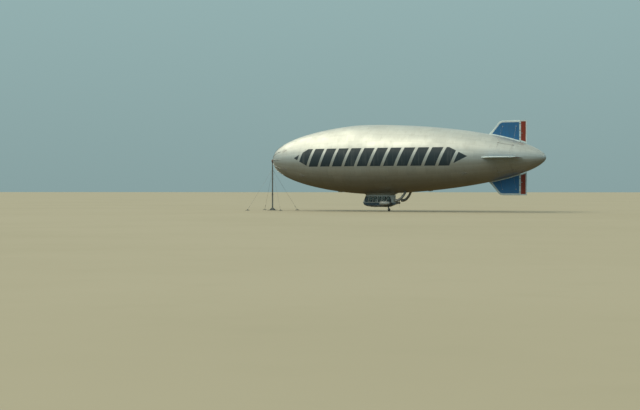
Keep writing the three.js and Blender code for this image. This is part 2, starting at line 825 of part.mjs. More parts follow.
function engines() {
  const { front, rear, wall, radius } = engine;
  const bore = boreRadius(propeller.shaftRadius, engine.sides);
  const inside = moved(nacelleOutline, -wall).map(([r, x]) => [r, Math.min(x, rear - wall)]);
  const [mouthX, mouthLip] = [front + full(0.03), nacelleOutline[0][0] - wall];
  const shell = turned(
    [
      ...nacelleOutline,
      [bore, rear],
      [bore, rear - wall],
      ...inside.toReversed().slice(0, -1),
      [mouthLip, mouthX],
      nacelleOutline[0],
    ],
    engine.sides,
  );
  const hollow = turned([[0, front], ...inside, [0, rear - wall]], engine.sides);
  const cavityLine = moved(nacelleOutline, -wall - seat).slice(2, -1);
  const cavity = turned([[0, front + full(0.2)], ...cavityLine, [0, rear - full(0.3)]], engine.sides);
  const blockRun = [front + full(0.45), front + full(1.25)];
  const block = box(blockRun, [-full(0.37), full(0.37)], [-radius, full(0.16)]);
  const nacelle = shell.add(cowlFittings().subtract(hollow));
  for (const [name, side] of sides) {
    const centre = [0, side * engine.side, engine.height];
    piece(`nacelle_${name}`, nacelle.translate(centre), paints.carWhite);
    piece(`engine_${name}`, block.intersect(cavity).translate(centre), paints.steel);
    piece(`propeller_${name}`, airscrew().translate(centre), paints.dark);
    piece(`outrigger_${name}`, outrigger(side), paints.carWhite);
    piece(`air_scoop_${name}`, airScoop(side), paints.silver);
  }
}

// What stands on the cowls: straps over their joints, two rows of louvres above, and an exhaust stub low
// on each side.
function cowlFittings() {
  const { straps, strapWidth, strapHeight, louvres, louvreStart, louvrePitch } = cowl;
  const deep = full(0.01);
  const bands = straps.map((aft) => {
    const [x0, x1] = [engine.front + aft - strapWidth / 2, engine.front + aft + strapWidth / 2];
    const [r0, r1] = [nacelleRadius(x0), nacelleRadius(x1)];
    const loop = [[r0 - deep, x0], [r0 + strapHeight, x0], [r1 + strapHeight, x1], [r1 - deep, x1]];
    return turned([...loop, loop[0]], engine.sides);
  });
  const vents = [-1, 1].flatMap((side) =>
    Array.from({ length: louvres }, (_, i) => {
      const x = engine.front + louvreStart + louvrePitch * i;
      const tilt = (cowl.louvreTilt * 180) / Math.PI;
      const around = (-side * cowl.louvreAngle * 180) / Math.PI;
      const slat = box([-full(0.025), full(0.025)], [-full(0.1), full(0.1)], [-full(0.022), full(0.008)]);
      return slat.rotate([0, tilt, 0]).translate([x, 0, nacelleRadius(x)]).rotate([around, 0, 0]);
    }),
  );
  const stubs = [-1, 1].flatMap((side) => exhaust(side));
  return joined([...bands, ...vents, ...stubs]);
}

function exhaust(side) {
  const radius = cowl.exhaustRadius;
  const start = [engine.front + full(1.0), side * full(0.22), -full(0.33)];
  const bend = [start[0] + full(0.08), start[1] + side * full(0.04), start[2] - full(0.1)];
  const end = [start[0] + full(0.26), start[1] + side * full(0.06), start[2] - full(0.13)];
  return [bar(start, bend, radius, 10), bar(bend, end, radius, 10)];
}

// Two blades, a hub with its spinner, and the shaft, on the nacelle's own axis.
function airscrew() {
  const { radius, shaftRadius, disc, spinner } = propeller;
  const hub = turned(
    [
      [0, engine.rear - full(0.25)],
      [shaftRadius, engine.rear - full(0.25)],
      [shaftRadius, engine.rear + running],
      [spinner, engine.rear + running],
      [spinner, disc + full(0.06)],
      [spinner * 0.85, disc + full(0.14)],
      [spinner * 0.5, disc + full(0.24)],
      [0, disc + full(0.28)],
    ],
    16,
  );
  // each blade section: share of the radius, chord, thickness, angle from the disc
  const sections = [
    { out: 0.1, chord: full(0.12), thick: full(0.07), angle: 50 },
    { out: 0.3, chord: full(0.2), thick: full(0.04), angle: 36 },
    { out: 0.6, chord: full(0.19), thick: full(0.026), angle: 22 },
    { out: 0.9, chord: full(0.15), thick: full(0.018), angle: 15 },
    { out: 1, chord: full(0.08), thick: full(0.012), angle: 13 },
  ];
  // shares of the chord and of the thickness
  const outline = [[-0.5, 0], [-0.3, 0.5], [0.1, 0.45], [0.5, 0], [0.1, -0.3], [-0.3, -0.35]];
  const blade = loft(
    sections.map(({ out, chord, thick, angle }) => {
      const turn = (angle * Math.PI) / 180;
      return outline.map(([along, up]) => {
        const [a, b] = [along * chord, up * thick];
        const across = a * Math.cos(turn) - b * Math.sin(turn);
        const fore = a * Math.sin(turn) + b * Math.cos(turn);
        return [disc + fore, across, out * radius];
      });
    }),
  );
  return joined([hub, blade, blade.rotate([180, 0, 0])]);
}

// A streamlined beam carries each nacelle out from the car's side, with a brace above it.
function outrigger(side) {
  // shares of the chord and of the thickness
  const outline = [[-0.5, 0], [-0.35, 0.4], [0, 0.5], [0.5, 0.05], [0.5, -0.05], [0, -0.5], [-0.35, -0.4]];
  const beamRing = (y, chord, thick) =>
    outline.map(([along, up]) => [full(26) + along * chord, side * y, engine.height + up * thick]);
  const beam = loft([
    beamRing(full(0.75), full(0.7), full(0.18)),
    beamRing(engine.side, full(0.5), full(0.14)),
  ]);
  const braceTop = [full(25.87), side * full(0.7), full(-7.4)];
  const brace = bar(braceTop, [full(26), side * full(1.68), engine.height], full(0.035), 8);
  const nacelleBlock = turned(
    [[0, engine.front], ...moved(nacelleOutline, seat), [0, engine.rear]],
    engine.sides,
  ).translate([0, side * engine.side, engine.height]);
  const roofBlock = box([full(20), full(28.5)], [-full(1.6), full(1.6)], [car.roof - seat, full(-6)]);
  return largest(beam.add(brace).subtract(joined([nacelleBlock, carSolid(-seat), roofBlock])));
}

// A sleeve behind each propeller catches its wash and feeds the air bags.
function airScoop(side) {
  const spine = [
    { x: scoop.mouth, y: scoop.side, z: scoop.height, radius: scoop.radius, lean: 0 },
    { x: scoop.mouth + full(0.55), y: scoop.side, z: scoop.height, radius: scoop.radius * 0.95, lean: 0 },
    { x: scoop.mouth + full(1.15), y: full(1.68), z: full(-7.98), radius: full(0.26), lean: 0.6 },
    { x: scoop.mouth + full(1.75), y: full(1.55), z: full(-7.3), radius: full(0.24), lean: 0.95 },
    { x: scoop.mouth + full(2.2), y: full(1.45), z: full(-6.5), radius: full(0.24), lean: 1.05 },
  ];
  const ring = ({ x, y, z, radius, lean }, inset) => {
    const count = 12;
    return Array.from({ length: count }, (_, i) => {
      const angle = (i / count) * 2 * Math.PI;
      const across = Math.cos(angle) * (radius - inset);
      const up = Math.sin(angle) * (radius - inset);
      return [x - up * Math.sin(lean), side * y + across, z + up * Math.cos(lean)];
    });
  };
  const outer = loft(spine.map((place) => ring(place, 0)));
  const mouth = { ...spine[0], x: scoop.mouth - 1 };
  const hollow = loft([mouth, ...spine.slice(1, 4)].map((place) => ring(place, scoop.wall)));
  return outer.subtract(hollow).subtract(hullBlock);
}

// Landing wheel

function landingGear() {
  const { station, trail, swivel, pivotRadius, axleRadius, tyreRadius, tyreWidth, sides } = gear;
  const hubHeight = -axisHeight + tyreRadius;
  const axle = station + trail;
  const legGap = tyreWidth / 2 + running;

  const upright = (low, high, radius, endRadius = radius) =>
    bar([station, 0, low], [station, 0, high], radius, 16, endRadius);
  const postBore = upright(car.belly, swivel - 1, boreRadius(pivotRadius, 16));
  const housing = upright(car.belly + full(0.2), swivel, full(0.16), full(0.1));
  piece("gear_strut", housing.subtract(postBore).subtract(carSolid(-seat)), paints.steel);

  const crownTop = swivel - seat;
  const crownLow = hubHeight + tyreRadius + running;
  const pivot = upright(crownLow, car.belly - running, pivotRadius);
  const crownReach = legGap + full(0.05);
  const crownRun = [station - full(0.09), axle + full(0.06)];
  const crown = box(crownRun, [-crownReach, crownReach], [crownLow, crownTop]);
  const legs = [-1, 1].map((side) =>
    loft(
      [
        [crownTop, station - full(0.08), axle + full(0.06)],
        [hubHeight - full(0.06), axle - full(0.06), axle + full(0.06)],
      ].map(([z, fore, aft]) => {
        const [near, far] = [side * legGap, side * (legGap + full(0.05))];
        return [[fore, near, z], [aft, near, z], [aft, far, z], [fore, far, z]];
      }),
    ),
  );
  const pinReach = legGap + full(0.07);
  const pin = bar([axle, -pinReach, hubHeight], [axle, pinReach, hubHeight], axleRadius, sides);
  piece("gear_fork", joined([pivot, crown, ...legs, pin]), paints.steel);

  const hubBore = boreRadius(axleRadius, sides);
  const rimRadius = tyreRadius * 0.5;
  const halfRim = tyreWidth * 0.42;
  const toAxle = (solid) => solid.rotate([0, 0, 90]).translate([axle, 0, hubHeight]);
  const rim = turned(
    [
      [hubBore, -halfRim],
      [rimRadius * 0.45, -halfRim * 1.1],
      [rimRadius * 0.5, -halfRim * 0.5],
      [rimRadius * 0.85, -halfRim * 0.5],
      [rimRadius - seat, -halfRim * 0.9],
      [rimRadius - seat, halfRim * 0.9],
      [rimRadius * 0.85, halfRim * 0.5],
      [rimRadius * 0.5, halfRim * 0.5],
      [rimRadius * 0.45, halfRim * 1.1],
      [hubBore, halfRim],
      [hubBore, -halfRim],
    ],
    sides,
  );
  piece("wheel_rim", toAxle(rim), paints.steel);
  const half = tyreWidth / 2;
  const tyre = turned(
    [
      [rimRadius, -half * 0.7],
      [tyreRadius * 0.8, -half],
      [tyreRadius * 0.94, -half * 0.82],
      [tyreRadius, -half * 0.4],
      [tyreRadius, half * 0.4],
      [tyreRadius * 0.94, half * 0.82],
      [tyreRadius * 0.8, half],
      [rimRadius, half * 0.7],
      [rimRadius, -half * 0.7],
    ],
    sides,
  );
  piece("tyre", toAxle(tyre), paints.rubber);
}

// Mooring mast

const ground = -axisHeight;
const plateTop = ground + mast.plate.thickness;
const ringHeight = ground + mast.guyHeight;

const onMast = (low, high, radius, sideCount = 16, endRadius = radius) =>
  bar([mast.station, 0, low], [mast.station, 0, high], radius, sideCount, endRadius);

function mastBase() {
  const { station, poleRadius, plate } = mast;
  const { half } = plate;
  const slab = box([station - half, station + half], [-half, half], [ground, plateTop]);
  const socket = onMast(plateTop - 1, plateTop + full(0.5), poleRadius + full(0.04));
  const bore = onMast(plateTop, plateTop + full(0.6), poleRadius * 1.01 + seat);
  const gussets = [0, 1, 2, 3].map((i) => {
    const web = new THREE.Shape();
    web.moveTo(poleRadius + full(0.01), 0);
    web.lineTo(full(0.7), 0);
    web.lineTo(poleRadius + full(0.01), full(0.45));
    const sheet = new THREE.ExtrudeGeometry(web, { depth: full(0.03), bevelEnabled: false });
    sheet.translate(0, 0, -full(0.015)).rotateX(Math.PI / 2).rotateZ((i * Math.PI) / 2 + Math.PI / 4);
    return solidOf(sheet.translate(station, 0, plateTop - 0.5));
  });
  piece("mast_base", joined([slab, socket, ...gussets]).subtract(bore), paints.mastGrey);
}

// The pole is flanged at its two joints, and climbing irons stand out of it, left and right in turn.
function mastPole() {
  const { poleRadius, topRadius, flanges, flangeRadius, flangeHalf, headLow } = mast;
  const { ironPitch, ironStart, ironRadius, station } = mast;
  const [low, high] = [plateTop + seat, headLow - seat];
  const pole = onMast(low, high, poleRadius, 16, topRadius);
  const collar = onMast(ringHeight + full(0.06), ringHeight + full(0.12), full(0.17));
  const rings = flanges
    .map((height) => ground + height)
    .map((z) => onMast(z - flangeHalf, z + flangeHalf, flangeRadius));
  const kept = [...flanges, mast.guyHeight];
  const irons = [];
  for (let i = 0; ground + ironStart + i * ironPitch < high - full(0.25); i++) {
    const height = ironStart + i * ironPitch;
    if (kept.some((z) => Math.abs(z - height) < full(0.12))) continue;
    const [z, side] = [ground + height, i % 2 ? 1 : -1];
    const surface = poleRadius + ((topRadius - poleRadius) * (z - low)) / (high - low);
    const at = (out, rise) => [station, side * (surface + out), z + rise];
    irons.push(bar(at(-full(0.03), 0), at(full(0.16), 0), ironRadius, 6));
    irons.push(bar(at(full(0.16), -ironRadius * 0.8), at(full(0.16), full(0.07)), ironRadius, 6));
  }
  piece("mast_pole", joined([pole, collar, ...rings, ...irons]), paints.mastGrey);
}

// The head holds the spindle in its cup, and carries the winch that draws the nose in.
function mastHead() {
  const { station, topRadius, headLow, headTop } = mast;
  const body = onMast(headLow, headTop, topRadius * 1.25, 16, topRadius * 1.05);
  const flange = onMast(headLow, headLow + full(0.03), full(0.19));
  const cupFront = station - full(0.16);
  const wellRadius = nose.spindleRadius * 1.03 + seat;
  const wellEnd = noseFace - nose.spindleLength - seat;
  const cup = turned(
    [
      [0, cupFront],
      [full(0.13), cupFront],
      [full(0.15), station],
      [full(0.19), noseFace - full(0.2)],
      [full(0.12), noseFace - full(0.2)],
      [wellRadius, noseFace - full(0.26)],
      [wellRadius, wellEnd],
      [0, wellEnd],
    ],
    16,
  );
  const well = bar([wellEnd, 0, 0], [noseFace, 0, 0], wellRadius, 16);
  const { x: winchX, z: winchZ, half, reach, drumRadius, drumReach } = mast.winch;
  const winchRise = [winchZ - half * 1.25, winchZ + half * 1.25];
  const winchCase = box([winchX - half, winchX + half], [-reach, -full(0.1)], winchRise);
  const drum = bar([winchX, -reach + 1, winchZ], [winchX, -drumReach, winchZ], drumRadius, 12);
  const solid = joined([body, flange, winchCase, drum]).subtract(well).add(cup);
  piece("mast_head", solid, paints.mastRed);
}

// Four guys hold the pole upright between a ring round it and shoes on the ground.
function mastGuys() {
  const { station, poleRadius, guyReach, guyRadius, shoe } = mast;
  const hole = onMast(ringHeight - full(0.1), ringHeight + full(0.1), poleRadius * 0.95);
  const ring = onMast(ringHeight - full(0.04), ringHeight + full(0.06) - seat, full(0.19)).subtract(hole);
  const wires = [0, 1, 2, 3].map((i) => {
    const angle = Math.PI / 4 + (i * Math.PI) / 2;
    const out = (reach) => [station + Math.cos(angle) * reach, Math.sin(angle) * reach];
    const [x, y] = out(guyReach);
    const { half, thickness, postRadius } = shoe;
    const slab = box([x - half, x + half], [y - half, y + half], [ground, ground + thickness]);
    const postRise = [ground + full(0.05), ground + full(0.3)];
    const post = (grow) => bar([x, y, postRise[0]], [x, y, postRise[1]], postRadius + grow, 8);
    piece(`mast_anchor_${i + 1}`, slab.add(post(0)), paints.mastGrey);
    const top = [...out(full(0.17)), ringHeight];
    return bar(top, [x, y, ground + full(0.22)], guyRadius, 6).subtract(post(seat));
  });
  piece("mast_guys", joined([ring, ...wires]), paints.mastGrey);
}

envelope();
sternCap();
noseCone();
noseBattens();
airValves();
tail();
finStays();
carBody();
carRoof();
cabin();
handrails();
engines();
landingGear();
mastBase();
mastPole();
mastHead();
mastGuys();

// The origin stands on the ground under the middle of the whole.
const foremost = mast.station - mast.guyReach * Math.SQRT1_2 - mast.shoe.half;
const aftmost = moved(tipLine, seat + hull.capThickness)[tipLine.length - 1][1];
ship.position.set(-(foremost + aftmost) / 2, 0, axisHeight);

const part = new THREE.Group();
part.add(ship);

export default part;
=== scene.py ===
import math
from itertools import product

import bmesh
import bpy
from mathutils import Matrix, Vector
from mathutils.bvhtree import BVHTree


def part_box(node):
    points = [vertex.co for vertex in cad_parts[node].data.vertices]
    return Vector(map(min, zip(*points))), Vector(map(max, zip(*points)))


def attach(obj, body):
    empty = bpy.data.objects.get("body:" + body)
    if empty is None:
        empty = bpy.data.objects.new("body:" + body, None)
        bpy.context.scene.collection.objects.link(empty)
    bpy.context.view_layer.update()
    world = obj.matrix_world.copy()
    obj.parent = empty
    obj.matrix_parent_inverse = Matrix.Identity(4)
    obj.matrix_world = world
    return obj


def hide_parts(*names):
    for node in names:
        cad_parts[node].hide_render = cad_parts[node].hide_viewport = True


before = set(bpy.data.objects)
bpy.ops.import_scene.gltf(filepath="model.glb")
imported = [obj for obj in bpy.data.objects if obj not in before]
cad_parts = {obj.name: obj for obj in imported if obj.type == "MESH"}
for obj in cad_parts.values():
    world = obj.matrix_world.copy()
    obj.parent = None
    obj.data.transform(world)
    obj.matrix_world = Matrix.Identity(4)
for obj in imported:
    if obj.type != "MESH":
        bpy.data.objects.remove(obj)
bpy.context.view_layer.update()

# Everything below is modelled in metres on the real ship: x aft of the nose tip, y to starboard, z above the
# hull's axis. shipFrame then sets it into the half-size frame.
hullLow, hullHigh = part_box("envelope")
scale = 0.5
shipFrame = Matrix.Translation((hullLow.x, 0, (hullLow.z + hullHigh.z) / 2)) @ Matrix.Scale(scale, 4)
ground = -10.5
sides = {"port": -1, "starboard": 1}
print("frame loaded:", len(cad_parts), "nodes")


# Node helpers
def feed(tree, socket, value):
    if isinstance(value, bpy.types.NodeSocket):
        tree.links.new(value, socket)
    elif value is not None:
        socket.default_value = value


def addNode(tree, kind, inputs=None, **settings):
    made = tree.nodes.new("ShaderNode" + kind)
    for key, value in settings.items():
        setattr(made, key, value)
    for label, value in (inputs or {}).items():
        feed(tree, made.inputs[label], value)
    return made


def calc(tree, operation, *values, clamp=False):
    made = addNode(tree, "Math", operation=operation, use_clamp=clamp)
    for socket, value in zip(made.inputs, values):
        feed(tree, socket, value)
    return made.outputs[0]


def times(tree, first, second):
    return calc(tree, "MULTIPLY", first, second)


def plus(tree, first, second):
    return calc(tree, "ADD", first, second)


def minus(tree, first, second):
    return calc(tree, "SUBTRACT", first, second)


def mixColor(tree, factor, first, second):
    made = addNode(tree, "Mix", data_type="RGBA")
    for index, value in ((0, factor), (6, first), (7, second)):
        feed(tree, made.inputs[index], value)
    return made.outputs[2]


def ramp(tree, value, low, high):
    # a straight ramp from 0 at low to 1 at high
    made = addNode(tree, "MapRange", {"Value": value, "From Min": low, "From Max": high})
    return made.outputs[0]


def objectPoint(tree, stretch=(1, 1, 1), shift=(0, 0, 0)):
    coordinates = addNode(tree, "TexCoord")
    mapping = addNode(tree, "Mapping", {"Vector": coordinates.outputs["Object"], "Scale": stretch,
                                        "Location": shift})
    return mapping.outputs[0]


def effect(name, inputs, outputs):
    tree = bpy.data.node_groups.new(name, "ShaderNodeTree")
    for label, value in inputs.items():
        kind = "NodeSocketFloat" if isinstance(value, (int, float)) else "NodeSocketColor"
        tree.interface.new_socket(label, in_out="INPUT", socket_type=kind).default_value = value
    for label, kind in outputs.items():
        tree.interface.new_socket(label, in_out="OUTPUT", socket_type="NodeSocket" + kind)
    return tree, tree.nodes.new("NodeGroupInput").outputs, tree.nodes.new("NodeGroupOutput").inputs


def useEffect(tree, group, **inputs):
    made = tree.nodes.new("ShaderNodeGroup")
    made.node_tree = group
    for label, value in inputs.items():
        feed(tree, made.inputs[label], value)
    return made.outputs


# Shared effects
def makeWeather():
    # uneven stains over a paint, with the gloss and the surface that go with them
    tree, inputs, outputs = effect("weather", {"Color": (0.8, 0.8, 0.8, 1), "Stain": (0.2, 0.2, 0.2, 1),
                                               "Scale": 4.0, "Amount": 0.3, "Roughness": 0.5},
                                   {"Color": "Color", "Roughness": "Float", "Height": "Float"})
    point = objectPoint(tree)
    broad = addNode(tree, "TexNoise", {"Vector": point, "Scale": inputs["Scale"], "Detail": 6,
                                       "Roughness": 0.6})
    fineScale = times(tree, inputs["Scale"], 11)
    fine = addNode(tree, "TexNoise", {"Vector": point, "Scale": fineScale, "Detail": 4})
    stain = times(tree, ramp(tree, broad.outputs[0], 0.42, 0.75), inputs["Amount"])
    speck = times(tree, ramp(tree, fine.outputs[0], 0.55, 0.8), times(tree, inputs["Amount"], 0.5))
    mask = calc(tree, "ADD", stain, speck, clamp=True)
    feed(tree, outputs["Color"], mixColor(tree, mask, inputs["Color"], inputs["Stain"]))
    uneven = times(tree, minus(tree, broad.outputs[0], 0.5), 0.25)
    rough = plus(tree, inputs["Roughness"], plus(tree, uneven, times(tree, mask, 0.25)))
    feed(tree, outputs["Roughness"], calc(tree, "MINIMUM", calc(tree, "MAXIMUM", rough, 0.08), 1.0))
    feed(tree, outputs["Height"], fine.outputs[0])
    return tree


def makeStreaks():
    # rain and dirt that has run down a side
    tree, inputs, outputs = effect("streaks", {"Scale": 3.0, "Low": 0.5, "High": 0.75}, {"Mask": "Float"})
    point = objectPoint(tree, stretch=(1, 1, 0.07))
    runs = addNode(tree, "TexNoise", {"Vector": point, "Scale": inputs["Scale"], "Detail": 5,
                                      "Roughness": 0.65})
    feed(tree, outputs["Mask"], ramp(tree, runs.outputs[0], inputs["Low"], inputs["High"]))
    return tree


def makeWeave():
    # crossed threads, for cloth seen from close by
    tree, inputs, outputs = effect("weave", {"Threads": 400.0}, {"Height": "Float"})
    point = objectPoint(tree)
    heights = []
    for direction in ("X", "Y", "Z"):
        wave = addNode(tree, "TexWave", {"Vector": point, "Scale": inputs["Threads"]},
                       bands_direction=direction)
        heights.append(wave.outputs["Fac"])
    feed(tree, outputs["Height"], plus(tree, plus(tree, heights[0], heights[1]), heights[2]))
    return tree


def makeEdgeWear():
    # where paint has rubbed off the corners
    tree, inputs, outputs = effect("edgeWear", {"Radius": 0.004, "Breakup": 30.0}, {"Mask": "Float"})
    rounded = addNode(tree, "Bevel", {"Radius": inputs["Radius"]}, samples=4)
    plain = addNode(tree, "NewGeometry")
    across = addNode(tree, "VectorMath", operation="DOT_PRODUCT")
    feed(tree, across.inputs[0], rounded.outputs[0])
    feed(tree, across.inputs[1], plain.outputs["Normal"])
    corner = ramp(tree, across.outputs["Value"], 0.995, 0.93)
    chips = addNode(tree, "TexNoise", {"Vector": objectPoint(tree), "Scale": inputs["Breakup"], "Detail": 5})
    feed(tree, outputs["Mask"], times(tree, corner, ramp(tree, chips.outputs[0], 0.45, 0.6)))
    return tree


weather = makeWeather()
streaks = makeStreaks()
weave = makeWeave()
edgeWear = makeEdgeWear()


def newMaterial(name):
    material = bpy.data.materials.new(name)
    material.use_nodes = True
    tree = material.node_tree
    return material, tree, tree.nodes["Principled BSDF"]


def addBump(tree, shader, height, distance, strength=1.0):
    bump = addNode(tree, "Bump", {"Height": height, "Distance": distance, "Strength": strength})
    feed(tree, shader.inputs["Normal"], bump.outputs[0])


def coating(name, color, stain=(0.1, 0.09, 0.07), roughness=0.5, metallic=0.0, coat=0.0, scale=3.0,
            amount=0.3, grain=0.0006, runs=0.0, worn=None, wornRadius=0.004, threads=0, sheen=0.0):
    # a paint, metal, rubber or cloth, with stains, runs, rubbed corners and a woven or cast surface as asked
    material, tree, shader = newMaterial(name)
    base = useEffect(tree, weather, Color=(*color, 1), Stain=(*stain, 1), Scale=scale, Amount=amount,
                     Roughness=roughness)
    shown = base["Color"]
    if runs:
        mask = times(tree, useEffect(tree, streaks, Scale=scale * 2)["Mask"], runs)
        shown = mixColor(tree, mask, shown, (*stain, 1))
    if worn:
        shown = mixColor(tree, useEffect(tree, edgeWear, Radius=wornRadius)["Mask"], shown, (*worn, 1))
    feed(tree, shader.inputs["Base Color"], shown)
    feed(tree, shader.inputs["Roughness"], base["Roughness"])
    shader.inputs["Metallic"].default_value = metallic
    shader.inputs["Coat Weight"].default_value = coat
    shader.inputs["Coat Roughness"].default_value = 0.12
    shader.inputs["Sheen Weight"].default_value = sheen
    height = base["Height"]
    if threads:
        woven = useEffect(tree, weave, Threads=threads)["Height"]
        height = plus(tree, times(tree, woven, 0.35), height)
    addBump(tree, shader, height, grain)
    return material


# Shape helpers
def around(count, shift=0):
    # angles spaced evenly round a circle; a shift of 0.5 starts half a step on
    return [2 * math.pi * (i + shift) / count for i in range(count)]


def radial(angle):
    # the direction square to the ship's axis at an angle from the top
    return Vector((0, math.sin(angle), math.cos(angle)))


def level(angle):
    return Vector((math.cos(angle), math.sin(angle), 0))


def flange(centre, radius, count, shift=0):
    # places for bolts round an upright axis
    return [Vector(centre) + level(angle) * radius for angle in around(count, shift)]


def turnAbout(axis, radius, angle):
    side = Vector(axis).orthogonal().normalized()
    return Matrix.Rotation(angle, 3, Vector(axis)) @ side * radius


def span(start, end, count):
    return [start + (end - start) * i / count for i in range(count + 1)]


def sleeve(low, high, inner, outer):
    # the profile of a short pipe, for turned
    return [(low, inner), (low, outer), (high, outer), (high, inner)]


def drawOut(bm, faces, way):
    # extrudes flat faces into a closed solid
    made = bmesh.ops.extrude_face_region(bm, geom=faces)["geom"]
    bmesh.ops.translate(bm, vec=way, verts=[item for item in made if isinstance(item, bmesh.types.BMVert)])


def transformTo(bm, matrix):
    bmesh.ops.transform(bm, matrix=matrix, verts=bm.verts)


def paintNew(bm, old, index):
    # gives a material index to the faces made since old was counted
    bm.faces.ensure_lookup_table()
    for face in bm.faces[old:]:
        face.material_index = index


def bridged(bm, rings, index=0, capped=True):
    # a skin over rings of equal length; a ring is a list of points
    old = len(bm.faces)
    loops = []
    for ring in rings:
        verts = [bm.verts.new(point) for point in ring]
        loops.append([bm.edges.new(pair) for pair in zip(verts, verts[1:] + verts[:1])])
    for first, second in zip(loops, loops[1:]):
        bmesh.ops.bridge_loops(bm, edges=first + second)
    if capped:
        bmesh.ops.edgeloop_fill(bm, edges=loops[0])
        bmesh.ops.edgeloop_fill(bm, edges=loops[-1])
    paintNew(bm, old, index)


def turned(bm, profile, centre=(0, 0, 0), axis=(1, 0, 0), steps=32, index=0, closed=True):
    # spins a profile of (distance along the axis, radius) round the axis through centre
    old = len(bm.faces)
    if closed and profile[0][1] + profile[-1][1] > 0 and profile[0] != profile[-1]:
        profile = profile + profile[:1]
    spinner = bmesh.new()
    verts = [spinner.verts.new((along, 0, radius)) for along, radius in profile]
    edges = [spinner.edges.new(pair) for pair in zip(verts, verts[1:])]
    bmesh.ops.spin(spinner, geom=verts + edges, cent=(0, 0, 0), axis=(1, 0, 0), angle=2 * math.pi,
                   steps=steps, use_merge=True)
    bmesh.ops.remove_doubles(spinner, verts=spinner.verts, dist=1e-5)
    turn = Vector((1, 0, 0)).rotation_difference(Vector(axis)).to_matrix().to_4x4()
    transformTo(spinner, Matrix.Translation(centre) @ turn)
    place(bm, spinner)
    paintNew(bm, old, index)


def place(bm, item, matrices=(Matrix.Identity(4),)):
    # adds a copy of the item at each matrix, and frees it
    bmesh.ops.recalc_face_normals(item, faces=item.faces)
    mesh = bpy.data.meshes.new("item")
    item.to_mesh(mesh)
    item.free()
    for matrix in matrices:
        copy = mesh.copy()
        copy.transform(matrix)
        if matrix.determinant() < 0:
            copy.flip_normals()
        bm.from_mesh(copy)
        bpy.data.meshes.remove(copy)
    bpy.data.meshes.remove(mesh)


def rod(bm, start, end, radius, endRadius=None, steps=12, index=0):
    old = len(bm.faces)
    start, run = Vector(start), Vector(end) - Vector(start)
    turn = run.to_track_quat("Z", "Y").to_matrix().to_4x4()
    bmesh.ops.create_cone(bm, cap_ends=True, segments=steps, radius1=radius, depth=run.length,
                          radius2=radius if endRadius is None else endRadius,
                          matrix=Matrix.Translation(start + run / 2) @ turn)
    paintNew(bm, old, index)


def block(bm, centre, size, index=0, turn=None, round=0.0, segments=2):
    old = len(bm.faces)
    item = bmesh.new()
    bmesh.ops.create_cube(item, size=1, matrix=Matrix.Diagonal((*size, 1)))
    if round:
        bmesh.ops.bevel(item, geom=item.edges, offset=round, offset_type="OFFSET", segments=segments,
                        profile=0.5, affect="EDGES", material=-1, clamp_overlap=True)
    place(bm, item, [Matrix.Translation(centre) @ (turn or Matrix.Identity(4))])
    paintNew(bm, old, index)


def tube(bm, points, radius, steps=10, index=0, closed=False):
    # a round tube along points, each ring square to the path
    points = [Vector(point) for point in points]
    count = len(points)
    rings = []
    across = None
    for i, point in enumerate(points):
        if closed:
            ahead = (points[(i + 1) % count] - points[i - 1]).normalized()
        else:
            ahead = (points[min(i + 1, count - 1)] - points[max(i - 1, 0)]).normalized()
        if across is None:
            across = ahead.orthogonal()
        across = (across - ahead * across.dot(ahead)).normalized()
        side = ahead.cross(across)
        size = radius[i] if isinstance(radius, (list, tuple)) else radius
        rings.append([point + (across * math.cos(a) + side * math.sin(a)) * size for a in around(steps)])
    bridged(bm, rings + rings[:1] if closed else rings, index, capped=not closed)


def smoothLine(points, cuts):
    # a curve through the points, with cuts steps between neighbours
    ends = [points[0]] + list(points) + [points[-1]]
    line = []
    for a, b, c, d in zip(ends, ends[1:], ends[2:], ends[3:]):
        for step in range(cuts):
            t = step / cuts
            line.append(tuple(0.5 * (2 * q + (r - p) * t + (2 * p - 5 * q + 4 * r - s) * t**2
                                     + (3 * q - p - 3 * r + s) * t**3) for p, q, r, s in zip(a, b, c, d)))
    return line + [tuple(points[-1])]


def roundedOutline(u, v, corner):
    # a rectangle with round corners, from ranges u and v, as (u, v) points
    steps, points = 5, []
    for cu, cv, start in ((u[1], v[1], 0), (u[0], v[1], 1), (u[0], v[0], 2), (u[1], v[0], 3)):
        middle = (cu - corner * (1 if cu == u[1] else -1), cv - corner * (1 if cv == v[1] else -1))
        for step in range(steps + 1):
            angle = math.pi / 2 * (start + step / steps)
            points.append((middle[0] + corner * math.cos(angle), middle[1] + corner * math.sin(angle)))
    return points


def bolts(bm, spots, radius=0.012, height=0.008, axis=(0, 0, 1), index=0):
    # hexagon heads standing along one axis
    item = bmesh.new()
    bmesh.ops.create_cone(item, cap_ends=True, segments=6, radius1=radius, radius2=radius * 0.9, depth=height)
    turn = Vector((0, 0, 1)).rotation_difference(Vector(axis)).to_matrix().to_4x4()
    old = len(bm.faces)
    place(bm, item, [Matrix.Translation(spot) @ turn for spot in spots])
    paintNew(bm, old, index)


def addPiece(name, data):
    piece = bpy.data.objects.new(name, data)
    bpy.context.scene.collection.objects.link(piece)
    return piece


def meshPiece(bm, name):
    mesh = bpy.data.meshes.new(name)
    bm.to_mesh(mesh)
    bm.free()
    return addPiece(name, mesh)


def toObject(bm, name, turn=0.0, merge=0.0001, recalc=True):
    # sets a shape into the frame, turned round the ship's axis first
    if merge:
        bmesh.ops.remove_doubles(bm, verts=bm.verts, dist=merge)
    bmesh.ops.delete(bm, geom=[edge for edge in bm.edges if not edge.link_faces], context="EDGES")
    if recalc:
        bmesh.ops.recalc_face_normals(bm, faces=bm.faces)
    transformTo(bm, shipFrame @ Matrix.Rotation(turn, 4, "X"))
    return meshPiece(bm, name)


